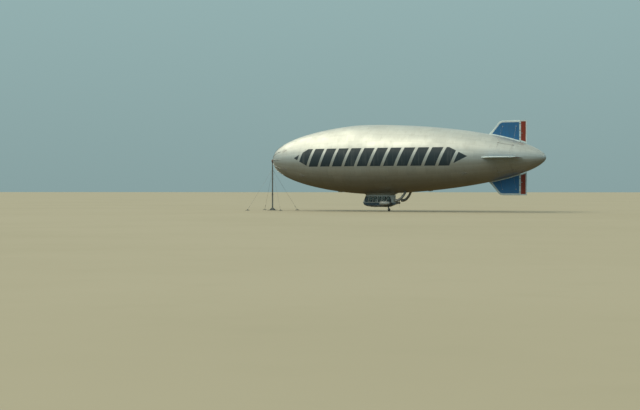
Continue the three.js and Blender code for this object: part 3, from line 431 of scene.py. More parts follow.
def applied(piece):
    # bakes the modifiers so far into the mesh
    bpy.context.view_layer.update()
    graph = bpy.context.evaluated_depsgraph_get()
    mesh = bpy.data.meshes.new_from_object(piece.evaluated_get(graph))
    piece.modifiers.clear()
    piece.data = mesh
    return piece


def carve(piece, cutter, operation="DIFFERENCE"):
    # cuts with another piece, which goes, and cleans up the cut edges
    cut = piece.modifiers.new("cut", "BOOLEAN")
    cut.operation, cut.solver, cut.object = operation, "EXACT", cutter
    applied(piece)
    bpy.data.objects.remove(cutter)
    bm = bmesh.new()
    bm.from_mesh(piece.data)
    bmesh.ops.remove_doubles(bm, verts=bm.verts, dist=2e-5)
    bmesh.ops.dissolve_degenerate(bm, edges=bm.edges, dist=2e-5)
    bmesh.ops.dissolve_limit(bm, angle_limit=math.radians(0.3), verts=bm.verts, edges=bm.edges,
                             delimit={"MATERIAL"})
    bm.to_mesh(piece.data)
    bm.free()
    return piece


def dress(piece, body, materials, nodes=(), slot=None, angle=32, round=0.0, segments=2, even=False):
    slots = piece.data.materials
    for index, material in enumerate(materials):
        if index < len(slots):
            slots[index] = material
        else:
            slots.append(material)
    if round:
        bevel = piece.modifiers.new("round", "BEVEL")
        bevel.width, bevel.segments, bevel.limit_method = round, segments, "ANGLE"
        bevel.angle_limit, bevel.harden_normals = math.radians(angle), False
    piece.data.shade_smooth()
    piece.data.set_sharp_from_angle(angle=math.radians(angle))
    if even:  # large flat faces keep their own shading beside cut edges
        piece.modifiers.new("even", "WEIGHTED_NORMAL").keep_sharp = True
    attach(piece, body)
    if nodes:
        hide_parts(*nodes)
    return piece


def shipPiece(bm, name, materials, nodes=(), slot=None, **looks):
    return dress(toObject(bm, name), "ship", materials, nodes, slot, **looks)


# Hull outline
hull = {"length": 58.5, "radius": 7.01, "widest": 21.06, "bow": (1.5, 0.44), "stern": (1.87, 0.57),
        "wall": 0.01, "hole": 0.5, "gores": 24, "steps": 8, "pinch": 0.012}


def hullRadius(x):
    power, root = hull["bow"] if x <= hull["widest"] else hull["stern"]
    run = hull["widest"] if x <= hull["widest"] else hull["length"] - hull["widest"]
    return hull["radius"] * max(0.0, 1 - abs((x - hull["widest"]) / run) ** power) ** root


def hullStations(count, start, end):
    # stations that crowd together towards both ends of the hull
    low, high = (math.acos(1 - 2 * x / hull["length"]) for x in (start, end))
    return [hull["length"] / 2 * (1 - math.cos(low + (high - low) * i / count)) for i in range(count + 1)]


def hullPoint(x, angle, lift):
    radius = hullRadius(x) + lift
    return Vector((x, radius * math.sin(angle), radius * math.cos(angle)))


def sternStation(radius):
    power, root = hull["stern"]
    share = (1 - (radius / hull["radius"]) ** (1 / root)) ** (1 / power)
    return hull["widest"] + share * (hull["length"] - hull["widest"])


# Envelope
livery = {"start": 7.0, "end": 44.4, "low": -1.5, "high": 2.1, "pitch": 2.8, "gap": 0.62, "slant": 0.45,
          "color": (0.025, 0.045, 0.06, 1)}
# the belly colour, with its heights and amount, is painted shade: a dark brown on the hull's lower side that
# stands in for the shadowed ground the silver reflects
dope = {"panelLength": 1.9, "darkPanel": (0.575, 0.605, 0.59, 1), "palePanel": (0.635, 0.665, 0.645, 1),
        "tape": (0.42, 0.43, 0.42, 1), "stain": (0.36, 0.36, 0.33, 1), "runs": (0.3, 0.29, 0.25, 1),
        "belly": (0.2, 0.175, 0.115, 1), "bellyShadeHeights": (-2.5, -7.2), "bellyShade": 0.7, "metal": 0.72}


def shipCoordinates(tree):
    # metres on the real ship, as separate x, y and z
    middle = shipFrame.translation
    point = objectPoint(tree, (1 / scale,) * 3, [-value / scale for value in middle])
    return addNode(tree, "SeparateXYZ", {"Vector": point}).outputs


def makeLivery(tree, x, z):
    # a long band of slanted dark blocks with pointed ends, the same on both sides
    middle = (livery["low"] + livery["high"]) / 2
    along = minus(tree, x, times(tree, minus(tree, z, middle), livery["slant"]))
    turns = calc(tree, "DIVIDE", along, livery["pitch"])
    blocks = times(tree, calc(tree, "PINGPONG", turns, 0.5), livery["pitch"])
    gaps = ramp(tree, blocks, livery["gap"] / 2 - 0.02, livery["gap"] / 2 + 0.02)
    rise = calc(tree, "ABSOLUTE", minus(tree, z, middle))
    half = (livery["high"] - livery["low"]) / 2
    fromStart = minus(tree, x, livery["start"])
    fromEnd = minus(tree, livery["end"], x)
    room = calc(tree, "MINIMUM", fromStart, fromEnd)
    edge = calc(tree, "MINIMUM", times(tree, room, 0.5), half)
    inside = ramp(tree, minus(tree, edge, rise), -0.02, 0.02)
    return times(tree, gaps, inside)


def makeHullFinish(name, withLivery):
    # aluminium dope on cloth gores, taped at the seams
    material, tree, shader = newMaterial(name)
    x, y, z = shipCoordinates(tree)
    radius = calc(tree, "SQRT", plus(tree, times(tree, y, y), times(tree, z, z)))
    gore = times(tree, calc(tree, "ARCTAN2", y, z), hull["gores"] / (2 * math.pi))
    seamAngle = times(tree, calc(tree, "PINGPONG", gore, 0.5), 2 * math.pi / hull["gores"])
    seamGap = times(tree, seamAngle, radius)
    whole = calc(tree, "FLOOR", gore)
    stagger = times(tree, calc(tree, "PINGPONG", whole, 1.0), 0.5)
    row = plus(tree, calc(tree, "DIVIDE", x, dope["panelLength"]), stagger)
    rowGap = times(tree, calc(tree, "PINGPONG", row, 0.5), dope["panelLength"])
    tape = calc(tree, "MAXIMUM", ramp(tree, seamGap, 0.036, 0.028), ramp(tree, rowGap, 0.024, 0.018))
    cell = addNode(tree, "CombineXYZ", {"X": whole, "Y": calc(tree, "FLOOR", row)})
    tone = addNode(tree, "TexWhiteNoise", {"Vector": cell.outputs[0]}, noise_dimensions="3D").outputs["Value"]
    cloth = mixColor(tree, tone, dope["darkPanel"], dope["palePanel"])
    taped = mixColor(tree, times(tree, tape, 0.35), cloth, dope["tape"])
    base = useEffect(tree, weather, Color=taped, Stain=dope["stain"], Scale=0.55, Amount=0.17, Roughness=0.49)
    runs = times(tree, useEffect(tree, streaks, Scale=2.4, Low=0.52, High=0.78)["Mask"], 0.25)
    soiled = mixColor(tree, runs, base["Color"], dope["runs"])
    # painted shade: the hull is mixed towards a dark brown below its middle, in place of the shadowed ground
    # that its silver reflects
    belly = times(tree, ramp(tree, z, *dope["bellyShadeHeights"]), dope["bellyShade"])
    shown = mixColor(tree, belly, soiled, dope["belly"])
    metal = times(tree, minus(tree, 1.0, times(tree, runs, 0.5)), dope["metal"])
    if withLivery:
        mask = makeLivery(tree, x, z)
        faded = times(tree, mask, minus(tree, 1.0, times(tree, runs, 0.6)))
        shown = mixColor(tree, faded, shown, livery["color"])
        metal = times(tree, metal, minus(tree, 1.0, faded))
    feed(tree, shader.inputs["Base Color"], shown)
    feed(tree, shader.inputs["Metallic"], metal)
    feed(tree, shader.inputs["Roughness"], base["Roughness"])
    wrinkle = addNode(tree, "TexNoise", {"Vector": objectPoint(tree, (0.5, 1, 1)), "Scale": 2.6, "Detail": 5})
    height = plus(tree, times(tree, tape, 0.2), wrinkle.outputs[0])
    addBump(tree, shader, height, 0.006, 0.6)
    return material


silverDope = makeHullFinish("silverDope", True)
silverPlain = makeHullFinish("silverPlain", False)
patchCloth = coating("patchCloth", (0.5, 0.51, 0.5), (0.28, 0.26, 0.22), 0.5, metallic=0.5, scale=4,
                     amount=0.4, threads=260)
paleMetal = coating("paleMetal", (0.62, 0.63, 0.61), (0.3, 0.28, 0.24), 0.38, metallic=0.85, scale=5,
                    amount=0.3)
steel = coating("steel", (0.42, 0.43, 0.42), (0.16, 0.12, 0.08), 0.38, metallic=0.9, scale=9, amount=0.35)
cordCloth = coating("cordCloth", (0.36, 0.34, 0.3), (0.16, 0.14, 0.11), 0.85, scale=20, threads=300)


def makeEnvelope():
    bm = bmesh.new()
    stations = hullStations(120, 0, sternStation(hull["hole"]))
    turned(bm, [(x, hullRadius(x)) for x in stations], steps=hull["gores"] * hull["steps"], closed=False)
    for vert in bm.verts:  # each gore bulges a little between its seams
        radius = math.hypot(vert.co.y, vert.co.z)
        if radius > 1e-4:
            crown = abs(math.sin(math.atan2(vert.co.y, vert.co.z) * hull["gores"] / 2)) ** 0.6
            pull = hull["pinch"] * (1 - crown) * min(1, radius / 3)
            vert.co.yz = vert.co.yz * ((radius - pull) / radius)
    piece = toObject(bm, "gasBag")
    wall = piece.modifiers.new("wall", "SOLIDIFY")
    wall.thickness, wall.offset = hull["wall"], -1
    dress(piece, "ship", [silverDope], ["envelope"], "envelope", angle=60)


cap = {"lap": 0.25, "lift": 0.012, "lacings": 24, "lacingReach": 0.1}


def makeSternCap():
    # the cloth cap over the filling hole, laced down round its rim
    bm = bmesh.new()
    start = sternStation(hull["hole"] + cap["lap"])
    line = [(x + cap["lift"], hullRadius(x)) for x in hullStations(14, start, hull["length"] - 0.002)]
    outer = line + [(hull["length"] + 0.03, 0)]
    inner = [(x - 0.02, radius) for x, radius in reversed(outer)]
    turned(bm, outer + inner, steps=64)
    ahead = start - cap["lacingReach"]
    for angle in around(cap["lacings"]):
        foot = hullPoint(ahead, angle, cap["lift"])
        head = hullPoint(start, angle, -0.024) + Vector((0.05, 0, 0))
        rod(bm, foot, head, 0.008, steps=6, index=1)
        bolts(bm, [foot], 0.025, 0.012, axis=radial(angle), index=1)
    shipPiece(bm, "sternCap", [silverPlain, cordCloth], ["stern_cap"], "envelope")


# Nose
nose = {"coneReach": 0.16, "wall": 0.05, "battens": 12, "reach": 3.1, "width": 0.13, "height": 0.07,
        "spindle": 0.07, "length": 0.42, "lacings": 7}


def hullFace(x, angle, lift=0.0):
    # a matrix on the hull: its X runs aft along the skin, its Z stands off the skin
    dx = 0.01
    slope = (hullRadius(x + dx) - hullRadius(x - dx)) / (2 * dx)
    run = Vector((1, 0, slope)).normalized()
    up = Vector((-slope, 0, 1)).normalized()
    frameHere = Matrix((run, Vector((0, 1, 0)), up)).transposed().to_4x4()
    spot = Matrix.Translation(Vector((x, 0, hullRadius(x))) + up * lift)
    return Matrix.Rotation(-angle, 4, "X") @ spot @ frameHere


def makeNose():
    bm = bmesh.new()
    reach, wall = nose["coneReach"], nose["wall"]
    front = -0.055
    line = [(x, hullRadius(x)) for x in hullStations(12, 0, reach)]
    shell = [(x - wall, radius * 1.01) for x, radius in line]
    inside = [(x - 0.003, radius) for x, radius in line[::-1]]
    turned(bm, [(-wall, 0)] + shell[1:] + [(reach, hullRadius(reach) + 0.02)] + inside, steps=64)
    length, core = nose["length"], nose["spindle"]
    turned(bm, [(front - length, 0), (front - length, core * 0.6), (front - length + 0.03, core * 0.8),
                (front - length + 0.08, core), (front - 0.2, core), (front - 0.14, core * 1.15),
                (front, core * 2.2), (front + 0.03, core * 2.4), (front + 0.03, 0)], steps=32, index=1)
    for direction in map(radial, around(12, 0.5)):
        near = Vector((-0.075, 0, 0)) + direction * 0.12
        far = Vector((0.03, 0, 0)) + direction * 0.8
        # ribs that carry the mooring load out to the battens
        rod(bm, near, far, 0.02, 0.03, steps=8, index=1)
        bolts(bm, [Vector((-0.02, 0, 0)) + direction * 0.88], 0.022, 0.03, axis=(-1, 0, 0), index=1)
    shipPiece(bm, "noseCone", [paleMetal, steel], ["nose_cone"], "nose_metal", round=0.0015)


def makeBattens():
    bm = bmesh.new()
    hoopStart, hoopEnd = nose["coneReach"] + 0.02, nose["coneReach"] + 0.1
    wall = nose["wall"] * 1.3
    line = [(x, hullRadius(x)) for x in (hoopStart, hoopEnd)]
    turned(bm, [line[0], (hoopStart - 0.02, line[0][1] + wall * 0.8), (hoopEnd - 0.02, line[1][1] + wall),
                line[1]], steps=72)
    rings = []
    for share in span(0, 1, 22):
        x = hoopStart + (nose["reach"] - hoopStart) * share**1.6
        half = nose["width"] / 2 * (1 - 0.45 * share**3)
        high = nose["height"] * (1 - 0.55 * share**3)
        section = [(-half, 0.0), (-half * 0.95, high * 0.5), (-half * 0.6, high * 0.92), (0, high),
                   (half * 0.6, high * 0.92), (half * 0.95, high * 0.5), (half, 0.0)]
        here = hullFace(x, 0)
        rings.append([here @ Vector((0, across, up)) for across, up in section])
    batten = bmesh.new()
    bridged(batten, rings)
    for share in range(1, nose["lacings"] + 1):  # straps that hold the batten in its sleeve
        x = nose["coneReach"] + (nose["reach"] - nose["coneReach"]) * (share / (nose["lacings"] + 0.5)) ** 1.4
        here = hullFace(x, 0)
        old = len(batten.faces)
        strap = bmesh.new()
        arch = [(-0.15, 0.006), (-0.09, 0.012), (-0.07, 0.06), (0, nose["height"] + 0.014), (0.07, 0.06),
                (0.09, 0.012), (0.15, 0.006)]
        section = arch + [(across, up - 0.012) for across, up in arch[::-1]]
        bridged(strap, [[(along, across, up) for across, up in section] for along in (-0.035, 0.035)])
        place(batten, strap, [here])
        bolts(batten, [here @ Vector((0, side * 0.12, 0.014)) for side in (-1, 1)], 0.014, 0.01,
              axis=here.to_3x3() @ Vector((0, 0, 1)))
        paintNew(batten, old, 1)
    place(bm, batten, [Matrix.Rotation(angle, 4, "X") for angle in around(nose["battens"])])
    dress(toObject(bm, "noseBattens", recalc=False), "ship", [paleMetal, patchCloth], ["nose_battens"],
          "nose_metal")


# Tail
fin = {"lead": 47.2, "shoulder": 48.95, "shoulderHeight": 6.75, "topStart": 50.2, "rear": 53.35,
       "tip": 7.25, "thickness": 0.22, "edge": 0.085, "border": 0.27, "rearBorder": 0.13,
       "rootBorder": 0.19, "buried": 0.012, "ribs": [48.7, 49.6, 50.45, 51.3, 52.15, 52.88], "tape": 0.03}
fillet = {"reach": 0.14, "height": 1.0, "thickness": 0.1, "apron": 0.1, "cloth": 0.012, "steps": 18}
rudder = {"axis": 53.466, "nose": 0.1, "chord": 1.25, "edge": 0.02, "rise": 0.14, "lugs": [4.0, 5.3, 6.6],
          "lugHeight": 0.12, "lugWidth": 0.07, "pin": 0.022, "border": 0.22, "frontBorder": 0.09,
          "gap": 0.016, "ribs": [0.42, 0.8], "tape": 0.022, "horn": 4.75}
stay = {"wire": 0.012, "pad": 0.09, "height": 6.1, "stations": [49.9, 52.6], "strapWidth": 0.16,
        "strapReach": 0.25}
tailPlaces = {"upper": (0, "rudder"), "port": (math.pi / 2, "elevator"), "lower": (math.pi, "rudder"),
              "starboard": (-math.pi / 2, "elevator")}

finBlue = coating("finBlue", (0.022, 0.165, 0.4), (0.04, 0.12, 0.21), 0.5, scale=2.2, amount=0.35,
                  runs=0.25, threads=240)
finWhite = coating("finWhite", (0.72, 0.84, 0.87), (0.45, 0.47, 0.44), 0.5, scale=2.5, amount=0.35,
                   runs=0.3, threads=240)
finTape = coating("finTape", (0.03, 0.17, 0.35), (0.04, 0.08, 0.12), 0.55, scale=3, amount=0.4, threads=240)
rudderRed = coating("rudderRed", (0.3, 0.035, 0.013), (0.16, 0.04, 0.02), 0.5, scale=2.2, amount=0.4,
                    runs=0.2, threads=240)
rudderTape = coating("rudderTape", (0.28, 0.05, 0.025), (0.12, 0.05, 0.03), 0.55, scale=3, amount=0.4,
                     threads=240)


def finOutline():
    lead, rear, tip, deep = fin["lead"], fin["rear"], fin["tip"], fin["buried"]
    a, b, c = (Vector((fin["shoulder"], fin["shoulderHeight"])), Vector((fin["shoulder"] + 0.35, tip)),
               Vector((fin["topStart"], tip)))
    curve = [a * (1 - t) ** 2 + b * 2 * t * (1 - t) + c * t**2 for t in span(0, 1, 10)]
    root = [(x, hullRadius(x) - deep) for x in span(lead, rear, 14)]
    return root[:1] + [tuple(point) for point in curve] + [(rear, tip)] + root[:0:-1]


def panelled(bm, faces, border, hingeLine, shift, ribs, tape, drop=0.0):
    # sinks a coloured panel inside a border on each face, narrower beside the hinge, and lays a tape
    # over each rib
    panelIndex, borderIndex, tapeIndex = 0, 1, 2
    for face in faces:
        face.material_index = borderIndex
    bmesh.ops.inset_individual(bm, faces=faces, thickness=border, depth=-0.003, use_even_offset=True)
    for face in faces:
        face.material_index = panelIndex
        for vert in face.verts:
            if abs(vert.co.x - hingeLine) < border + 0.02:
                vert.co.x += shift
            if vert.co.z < hullRadius(vert.co.x) + border * 1.5:
                vert.co.z -= drop
    cutEdges = []
    for x in ribs:
        inside = [face for face in bm.faces if face.material_index == panelIndex]
        geom = list({item for face in inside for item in (*face.verts, *face.edges)}) + inside
        cut = bmesh.ops.bisect_plane(bm, geom=geom, plane_co=(x, 0, 0), plane_no=(1, 0, 0), dist=1e-5)
        cutEdges += [item for item in cut["geom_cut"] if isinstance(item, bmesh.types.BMEdge)]
    made = bmesh.ops.bevel(bm, geom=cutEdges, offset=tape, offset_type="OFFSET", segments=1, profile=0.5,
                           affect="EDGES", material=tapeIndex, clamp_overlap=True)
    tapes = [face for face in made["faces"] if face.material_index == tapeIndex]
    raised = bmesh.ops.inset_individual(bm, faces=tapes, thickness=0.004, depth=0.008)
    for face in raised["faces"]:
        face.material_index = tapeIndex


def addLugs(bm):
    # steel lugs round the rudder's pin, on plates that are bolted through the fin
    rear, half, high = fin["rear"], fin["thickness"] / 2, rudder["lugHeight"] / 2
    for z in rudder["lugs"]:
        block(bm, (rear + 0.03, 0, z), (0.17, rudder["lugWidth"], high * 2), 3, round=0.006)
        turned(bm, sleeve(-high, high, 0.026, 0.035), (rudder["axis"], 0, z), (0, 0, 1), 20, 3)
        block(bm, (rear - 0.09, 0, z), (0.16, fin["thickness"] + 0.016, 0.2), 3, round=0.006)
        for side in (-1, 1):
            spots = [(rear - 0.13 + 0.08 * i, side * (half + 0.011), z + 0.06 * j) for i in (0, 1)
                     for j in (-1, 1)]
            bolts(bm, spots, 0.011, 0.012, axis=(0, side, 0), index=3)


def addApron(bm):
    # cloth that runs from the fin's root out over the hull, pointed in front
    half, start = fin["thickness"] / 2, fin["lead"] - fillet["reach"]
    rings = []
    for x in span(start, fin["rear"], fillet["steps"]):
        grown = min(1, max(0, x - start) / 1.6) ** 0.5
        wide, lift, r = half + 0.04 + fillet["apron"] * grown, fillet["cloth"], hullRadius(x)
        line = [(-wide - 0.02, -0.02), (-wide, lift), (-wide / 2, lift), (-half - 0.06, lift),
                (-half + 0.02, 0.1 * grown + lift)]
        line += [(-y, z) for y, z in reversed(line)]
        rings.append([(x, y, math.sqrt(r * r - y * y) + z) for y, z in line])
    bridged(bm, rings, 1)


def addFillet(bm):
    # carries the fin's leading edge forward to the hull
    lead, low = fin["lead"], hullRadius(fin["lead"])
    slope = (fin["shoulder"] - lead) / (fin["shoulderHeight"] - low)
    rings = []
    for high in span(0, 1, 8):
        z = low - 0.03 + high * fillet["height"]
        forward = fillet["reach"] * (1 - high) ** 1.3
        front = lead + slope * (z - low) - forward + 0.02
        rear = front + forward + 0.2
        wide = fillet["thickness"] / 2 * (1 - 0.3 * high)
        rings.append([(front, 0, z), (front + 0.03, -wide * 0.8, z), (front + 0.12, -wide, z),
                      (rear, -wide, z), (rear, wide, z), (front + 0.12, wide, z),
                      (front + 0.03, wide * 0.8, z)])
    bridged(bm, rings, 1)


def makeFin(name, turn):
    bm = bmesh.new()
    half = fin["thickness"] / 2
    flat = bm.faces.new([bm.verts.new((x, -half, z)) for x, z in finOutline()])
    drawOut(bm, [flat], (0, 2 * half, 0))
    bmesh.ops.recalc_face_normals(bm, faces=bm.faces)
    along = [edge for edge in bm.edges if abs(edge.verts[0].co.y - edge.verts[1].co.y) < 1e-6]
    rim = [edge for edge in along if all(v.co.z > hullRadius(v.co.x) for v in edge.verts)
           and min(v.co.x for v in edge.verts) < fin["rear"] - 0.01]
    lowest = {fin["lead"], fin["shoulder"]}
    first = [edge for edge in along if {round(v.co.x, 2) for v in edge.verts} == lowest]
    bmesh.ops.bevel(bm, geom=list(set(rim + first)), offset=fin["edge"], offset_type="OFFSET", segments=4,
                    profile=0.5, affect="EDGES", material=-1, clamp_overlap=True)
    big = sorted(bm.faces, key=lambda f: f.calc_area())[-2:]
    for f in bm.faces:
        f.material_index = 1
    panelled(bm, big, fin["border"], fin["rear"], fin["border"] - fin["rearBorder"], fin["ribs"], fin["tape"],
             fin["border"] - fin["rootBorder"])
    addLugs(bm)
    addApron(bm)
    addFillet(bm)
    piece = toObject(bm, "fin_" + name + "_skin", turn)
    dress(piece, "ship", [finBlue, finWhite, finTape, steel], ["fin_" + name], "fin_blue", angle=30)


def makeRudder(name, surface, turn):
    axis, lip, chord, edge, tip = rudder["axis"], rudder["nose"], rudder["chord"], rudder["edge"], fin["tip"]
    body = surface + "_" + name
    bm = bmesh.new()
    section = [(-math.sin(a) * lip, math.cos(a) * lip) for a in span(0, math.pi, 12)]
    section += [(chord, -edge), (chord, edge)]
    lower = [(axis + x, y, hullRadius(axis + max(x, 0)) + rudder["rise"]) for x, y in section]
    upper = [(axis + x, y, tip) for x, y in section]
    bridged(bm, [lower, upper])
    bmesh.ops.recalc_face_normals(bm, faces=bm.faces)
    big = sorted((f for f in bm.faces if abs(f.normal.z) < 0.3), key=lambda f: f.calc_area())[-2:]
    for f in bm.faces:
        f.material_index = 1
    panelled(bm, big, rudder["border"], axis, rudder["frontBorder"] - rudder["border"],
             [axis + rib for rib in rudder["ribs"]], rudder["tape"])
    piece = toObject(bm, body + "_skin", turn)
    cuts = bmesh.new()
    for z in rudder["lugs"]:
        gap = rudder["gap"]
        reach = rudder["lugWidth"] / 2 + gap
        block(cuts, (axis + (reach - lip) / 2 - 0.05, 0, z),
              (lip + reach + 0.1, 0.3, rudder["lugHeight"] + 2 * gap), 1)
    carve(piece, toObject(cuts, "notches", turn, merge=0))
    fittings = bmesh.new()
    ends = [rudder["lugs"][0] - rudder["lugHeight"], rudder["lugs"][-1] + rudder["lugHeight"]]
    rod(fittings, (axis, 0, ends[0]), (axis, 0, ends[1]), rudder["pin"], steps=16)
    z = rudder["horn"]
    for side in (-1, 1):  # horn that the control cables pull
        rod(fittings, (axis + 0.16, side * 0.07, z), (axis + 0.04, side * 0.32, z), 0.02, 0.014, steps=8)
        rod(fittings, (axis + 0.34, side * 0.06, z), (axis + 0.04, side * 0.32, z), 0.012, steps=8)
        turned(fittings, sleeve(-0.012, 0.012, 0.016, 0.034), (axis + 0.04, side * 0.34, z), (0, 0, 1), 16)
        block(fittings, (axis + 0.25, side * 0.086, z), (0.3, 0.012, 0.14), round=0.004)
        spots = [(axis + 0.13 + 0.08 * i, side * 0.094, z + 0.045 * j) for i in range(4) for j in (-1, 1)]
        bolts(fittings, spots, 0.01, 0.01, axis=(0, side, 0))
    dress(toObject(fittings, body + "_fittings", turn), body, [steel], slot="steel_tube")
    dress(piece, body, [rudderRed, finWhite, rudderTape], [body], "control_red", angle=25)


def makeStays(name, turn):
    # wires from a pad on each fin down to a strap on the hull between them, each with its turnbuckle
    bm = bmesh.new()
    face, between = fin["thickness"] / 2, math.pi / 4
    for x in stay["stations"]:
        foot = hullPoint(x, between, 0.07)
        for top, out in ((Vector((x, face + 0.05, stay["height"])), Vector((0, 1, 0))),
                         (Vector((x, stay["height"], face + 0.05)), Vector((0, 0, 1)))):
            rod(bm, foot, top, stay["wire"], steps=8)
            low, along = foot + (top - foot) * 0.1, (top - foot).normalized()
            rod(bm, low, low + along * 0.34, 0.028, steps=8)
            rod(bm, low + along * 0.03, low + along * 0.31, 0.034, steps=6)
            turned(bm, [(-0.05, 0), (-0.05, stay["pad"]), (-0.036, stay["pad"]), (-0.02, 0.05), (0.0, 0.03),
                        (0.006, 0)], top, out, 20)
            spots = [top - out * 0.036 + turnAbout(out, 0.066, angle) for angle in (0.8, 2.4, 4.0, 5.5)]
            bolts(bm, spots, 0.011, 0.014, axis=out)
    start, end = stay["stations"][0] - stay["strapReach"], stay["stations"][1] + stay["strapReach"]
    across = Vector((0, 1, -1)).normalized()
    half = stay["strapWidth"] / 2
    strap = [(-half, -0.012), (-half, 0.022), (-half * 0.7, 0.034), (half * 0.7, 0.034), (half, 0.022),
             (half, -0.012)]
    bridged(bm, [[hullPoint(x, between, lift) + across * side for side, lift in strap]
                 for x in span(start, end, 12)], 1)
    for x in stay["stations"]:
        block(bm, (0, 0, 0), (0.2, 0.12, 0.03), turn=hullFace(x, -between, 0.045), round=0.005)
        rod(bm, hullPoint(x, between, 0.045) - across * 0.03, hullPoint(x, between, 0.105) - across * 0.03,
            0.016, steps=8)
    dress(toObject(bm, "finStays_" + name, turn), "ship", [steel, patchCloth], ["fin_stays_" + name],
          "fin_stay")


# Car
car = {"front": 20.55, "rear": 27.25, "roof": -7.27, "sill": -8.72, "floor": -9.2, "deck": -9.15,
       "half": 1.07, "wall": 0.06, "rake": 0.55, "windowLow": -8.62, "windowHigh": -7.56, "corner": 0.09,
       "straps": [21.35, 22.3, 23.2, 25.35, 26.35]}
carSections = [  # share of the length, width, height of the belly, how far the top leans in
    (0, 0.42, -8.95, 0.8), (0.05, 0.66, -9.3, 0.84), (0.14, 0.86, -9.5, 0.9), (0.26, 0.97, -9.61, 0.94),
    (0.42, 1, -9.65, 0.95), (0.72, 1, -9.65, 0.95), (0.88, 0.86, -9.55, 0.93), (1, 0.6, -9.2, 0.88)]
sideWindows = [(22.05, 22.85), (23.0, 23.8), (24.0, 24.8), (25.0, 25.8), (25.95, 26.65)]
door = {"front": 23.95, "rear": 24.85, "top": -7.5, "foot": -9.14, "gap": 0.016, "pinOut": 0.035,
        "hinges": [-8.95, -7.95], "handle": (24.6, -8.86)}

carWhite = coating("carWhite", (0.58, 0.61, 0.6), (0.3, 0.29, 0.25), 0.32, coat=0.4, scale=2.5, amount=0.3,
                   runs=0.25, worn=(0.4, 0.4, 0.38), wornRadius=0.003)
carBlue = coating("carBlue", (0.05, 0.1, 0.15), (0.09, 0.09, 0.08), 0.3, coat=0.5, scale=2.5, amount=0.35,
                  runs=0.3, worn=(0.35, 0.36, 0.35), wornRadius=0.003)
fairingWhite = coating("fairingWhite", (0.36, 0.38, 0.36), (0.2, 0.18, 0.14), 0.5, scale=2, amount=0.45,
                       threads=200)
rubber = coating("rubber", (0.025, 0.025, 0.024), (0.09, 0.08, 0.07), 0.75, scale=12, amount=0.4)
darkPaint = coating("darkPaint", (0.03, 0.032, 0.033), (0.1, 0.09, 0.08), 0.45, scale=8, amount=0.3,
                    worn=(0.3, 0.3, 0.29), wornRadius=0.002)
floorMat = coating("floorMat", (0.09, 0.088, 0.08), (0.17, 0.15, 0.12), 0.8, scale=5, amount=0.5, threads=120)
dialFace = coating("dialFace", (0.012, 0.012, 0.013), (0.03, 0.03, 0.03), 0.35, scale=30, amount=0.3)
dialMark = coating("dialMark", (0.75, 0.74, 0.66), (0.5, 0.47, 0.38), 0.5, scale=30, amount=0.3)


def glassFinish(name, color, roughness=0.04):
    material, tree, shader = newMaterial(name)
    base = useEffect(tree, weather, Color=(*color, 1), Stain=(0.35, 0.34, 0.3, 1), Scale=2.5, Amount=0.12,
                     Roughness=roughness + 0.03)
    feed(tree, shader.inputs["Base Color"], base["Color"])
    feed(tree, shader.inputs["Roughness"], base["Roughness"])
    shader.inputs["Transmission Weight"].default_value = 0.9
    shader.inputs["IOR"].default_value = 1.45
    return material


windowGlass = glassFinish("windowGlass", (0.3, 0.36, 0.37))
lampGlass = glassFinish("lampGlass", (0.85, 0.88, 0.86), 0.12)


def carRing(section, grow):
    share, width, belly, lean = section
    half = car["half"] * width + grow
    low, top = belly - grow, car["roof"] - 0.001
    station = car["front"] - grow + share * (car["rear"] - car["front"] + 2 * grow)
    rake = car["rake"] * max(0, 1 - share / 0.3)
    knee = max(low + 0.12, car["floor"] + 0.02)
    bilge = smoothLine([(half * 0.97, knee), (half * 0.86, low + (knee - low) * 0.42),
                        (half * 0.55, low + (knee - low) * 0.08), (half * 0.2, low)], 4)
    right = [(half * lean, top), (half * (lean + 1) / 2, (top + car["sill"]) / 2),
             (half, car["sill"])] + bilge
    ring = []
    for y, z in right + [(-y, z) for y, z in reversed(right)]:
        slide = rake * (z - car["sill"]) / (top - car["sill"]) if z > car["sill"] else 0
        ring.append((station + slide, y, z))
    return ring


def carShell(name, grow, thickness):
    # the car's skin, moved out by grow, as a wall that reaches inwards
    bm = bmesh.new()
    bridged(bm, [carRing(section, grow) for section in smoothLine(carSections, 4)])
    bmesh.ops.triangulate(bm, faces=[face for face in bm.faces if len(face.verts) > 4])
    piece = toObject(bm, name)
    wall = piece.modifiers.new("wall", "SOLIDIFY")
    wall.thickness, wall.offset, wall.use_even_offset = thickness * scale, -1, True
    return applied(piece)


def prism(bm, outline, axis, start, end):
    # an outline in the plane square to x or y, drawn out along that axis
    item = bmesh.new()
    points = [(start, u, v) if axis == "x" else (u, start, v) for u, v in outline]
    face = item.faces.new([item.verts.new(point) for point in points])
    drawOut(item, [face], (end - start, 0, 0) if axis == "x" else (0, end - start, 0))
    place(bm, item)


def windowShapes():
    # each opening: its range along the wall, which axis it is cut along, and how deep
    shapes = []
    for run in sideWindows:
        shapes += [(run, "y", 0.4, 1.5), (run, "y", -1.5, -0.4)]
    shapes += [((0.035, 0.44), "x", 19.9, 21.5), ((-0.44, -0.035), "x", 19.9, 21.5)]
    shapes += [((21.02, 21.9), "y", 0.5, 1.5), ((21.02, 21.9), "y", -1.5, -0.5)]
    return shapes


def windowOutlines(grow, doorOnly):
    rise = (car["windowLow"] - grow, car["windowHigh"] + grow)
    found = []
    for run, axis, start, end in windowShapes():
        isDoor = run == sideWindows[2] and start > 0
        if isDoor == doorOnly:
            across = (run[0] - grow, run[1] + grow)
            if isDoor:
                across = (door["front"] + 0.14 - grow, door["rear"] - 0.14 + grow)
            found.append((roundedOutline(across, rise, car["corner"] + grow), axis, start, end))
    return found


def windowCutter(grow, doorOnly=False):
    bm = bmesh.new()
    for outline, axis, start, end in windowOutlines(grow, doorOnly):
        prism(bm, outline, axis, start, end)
    return toObject(bm, "windowCutter")


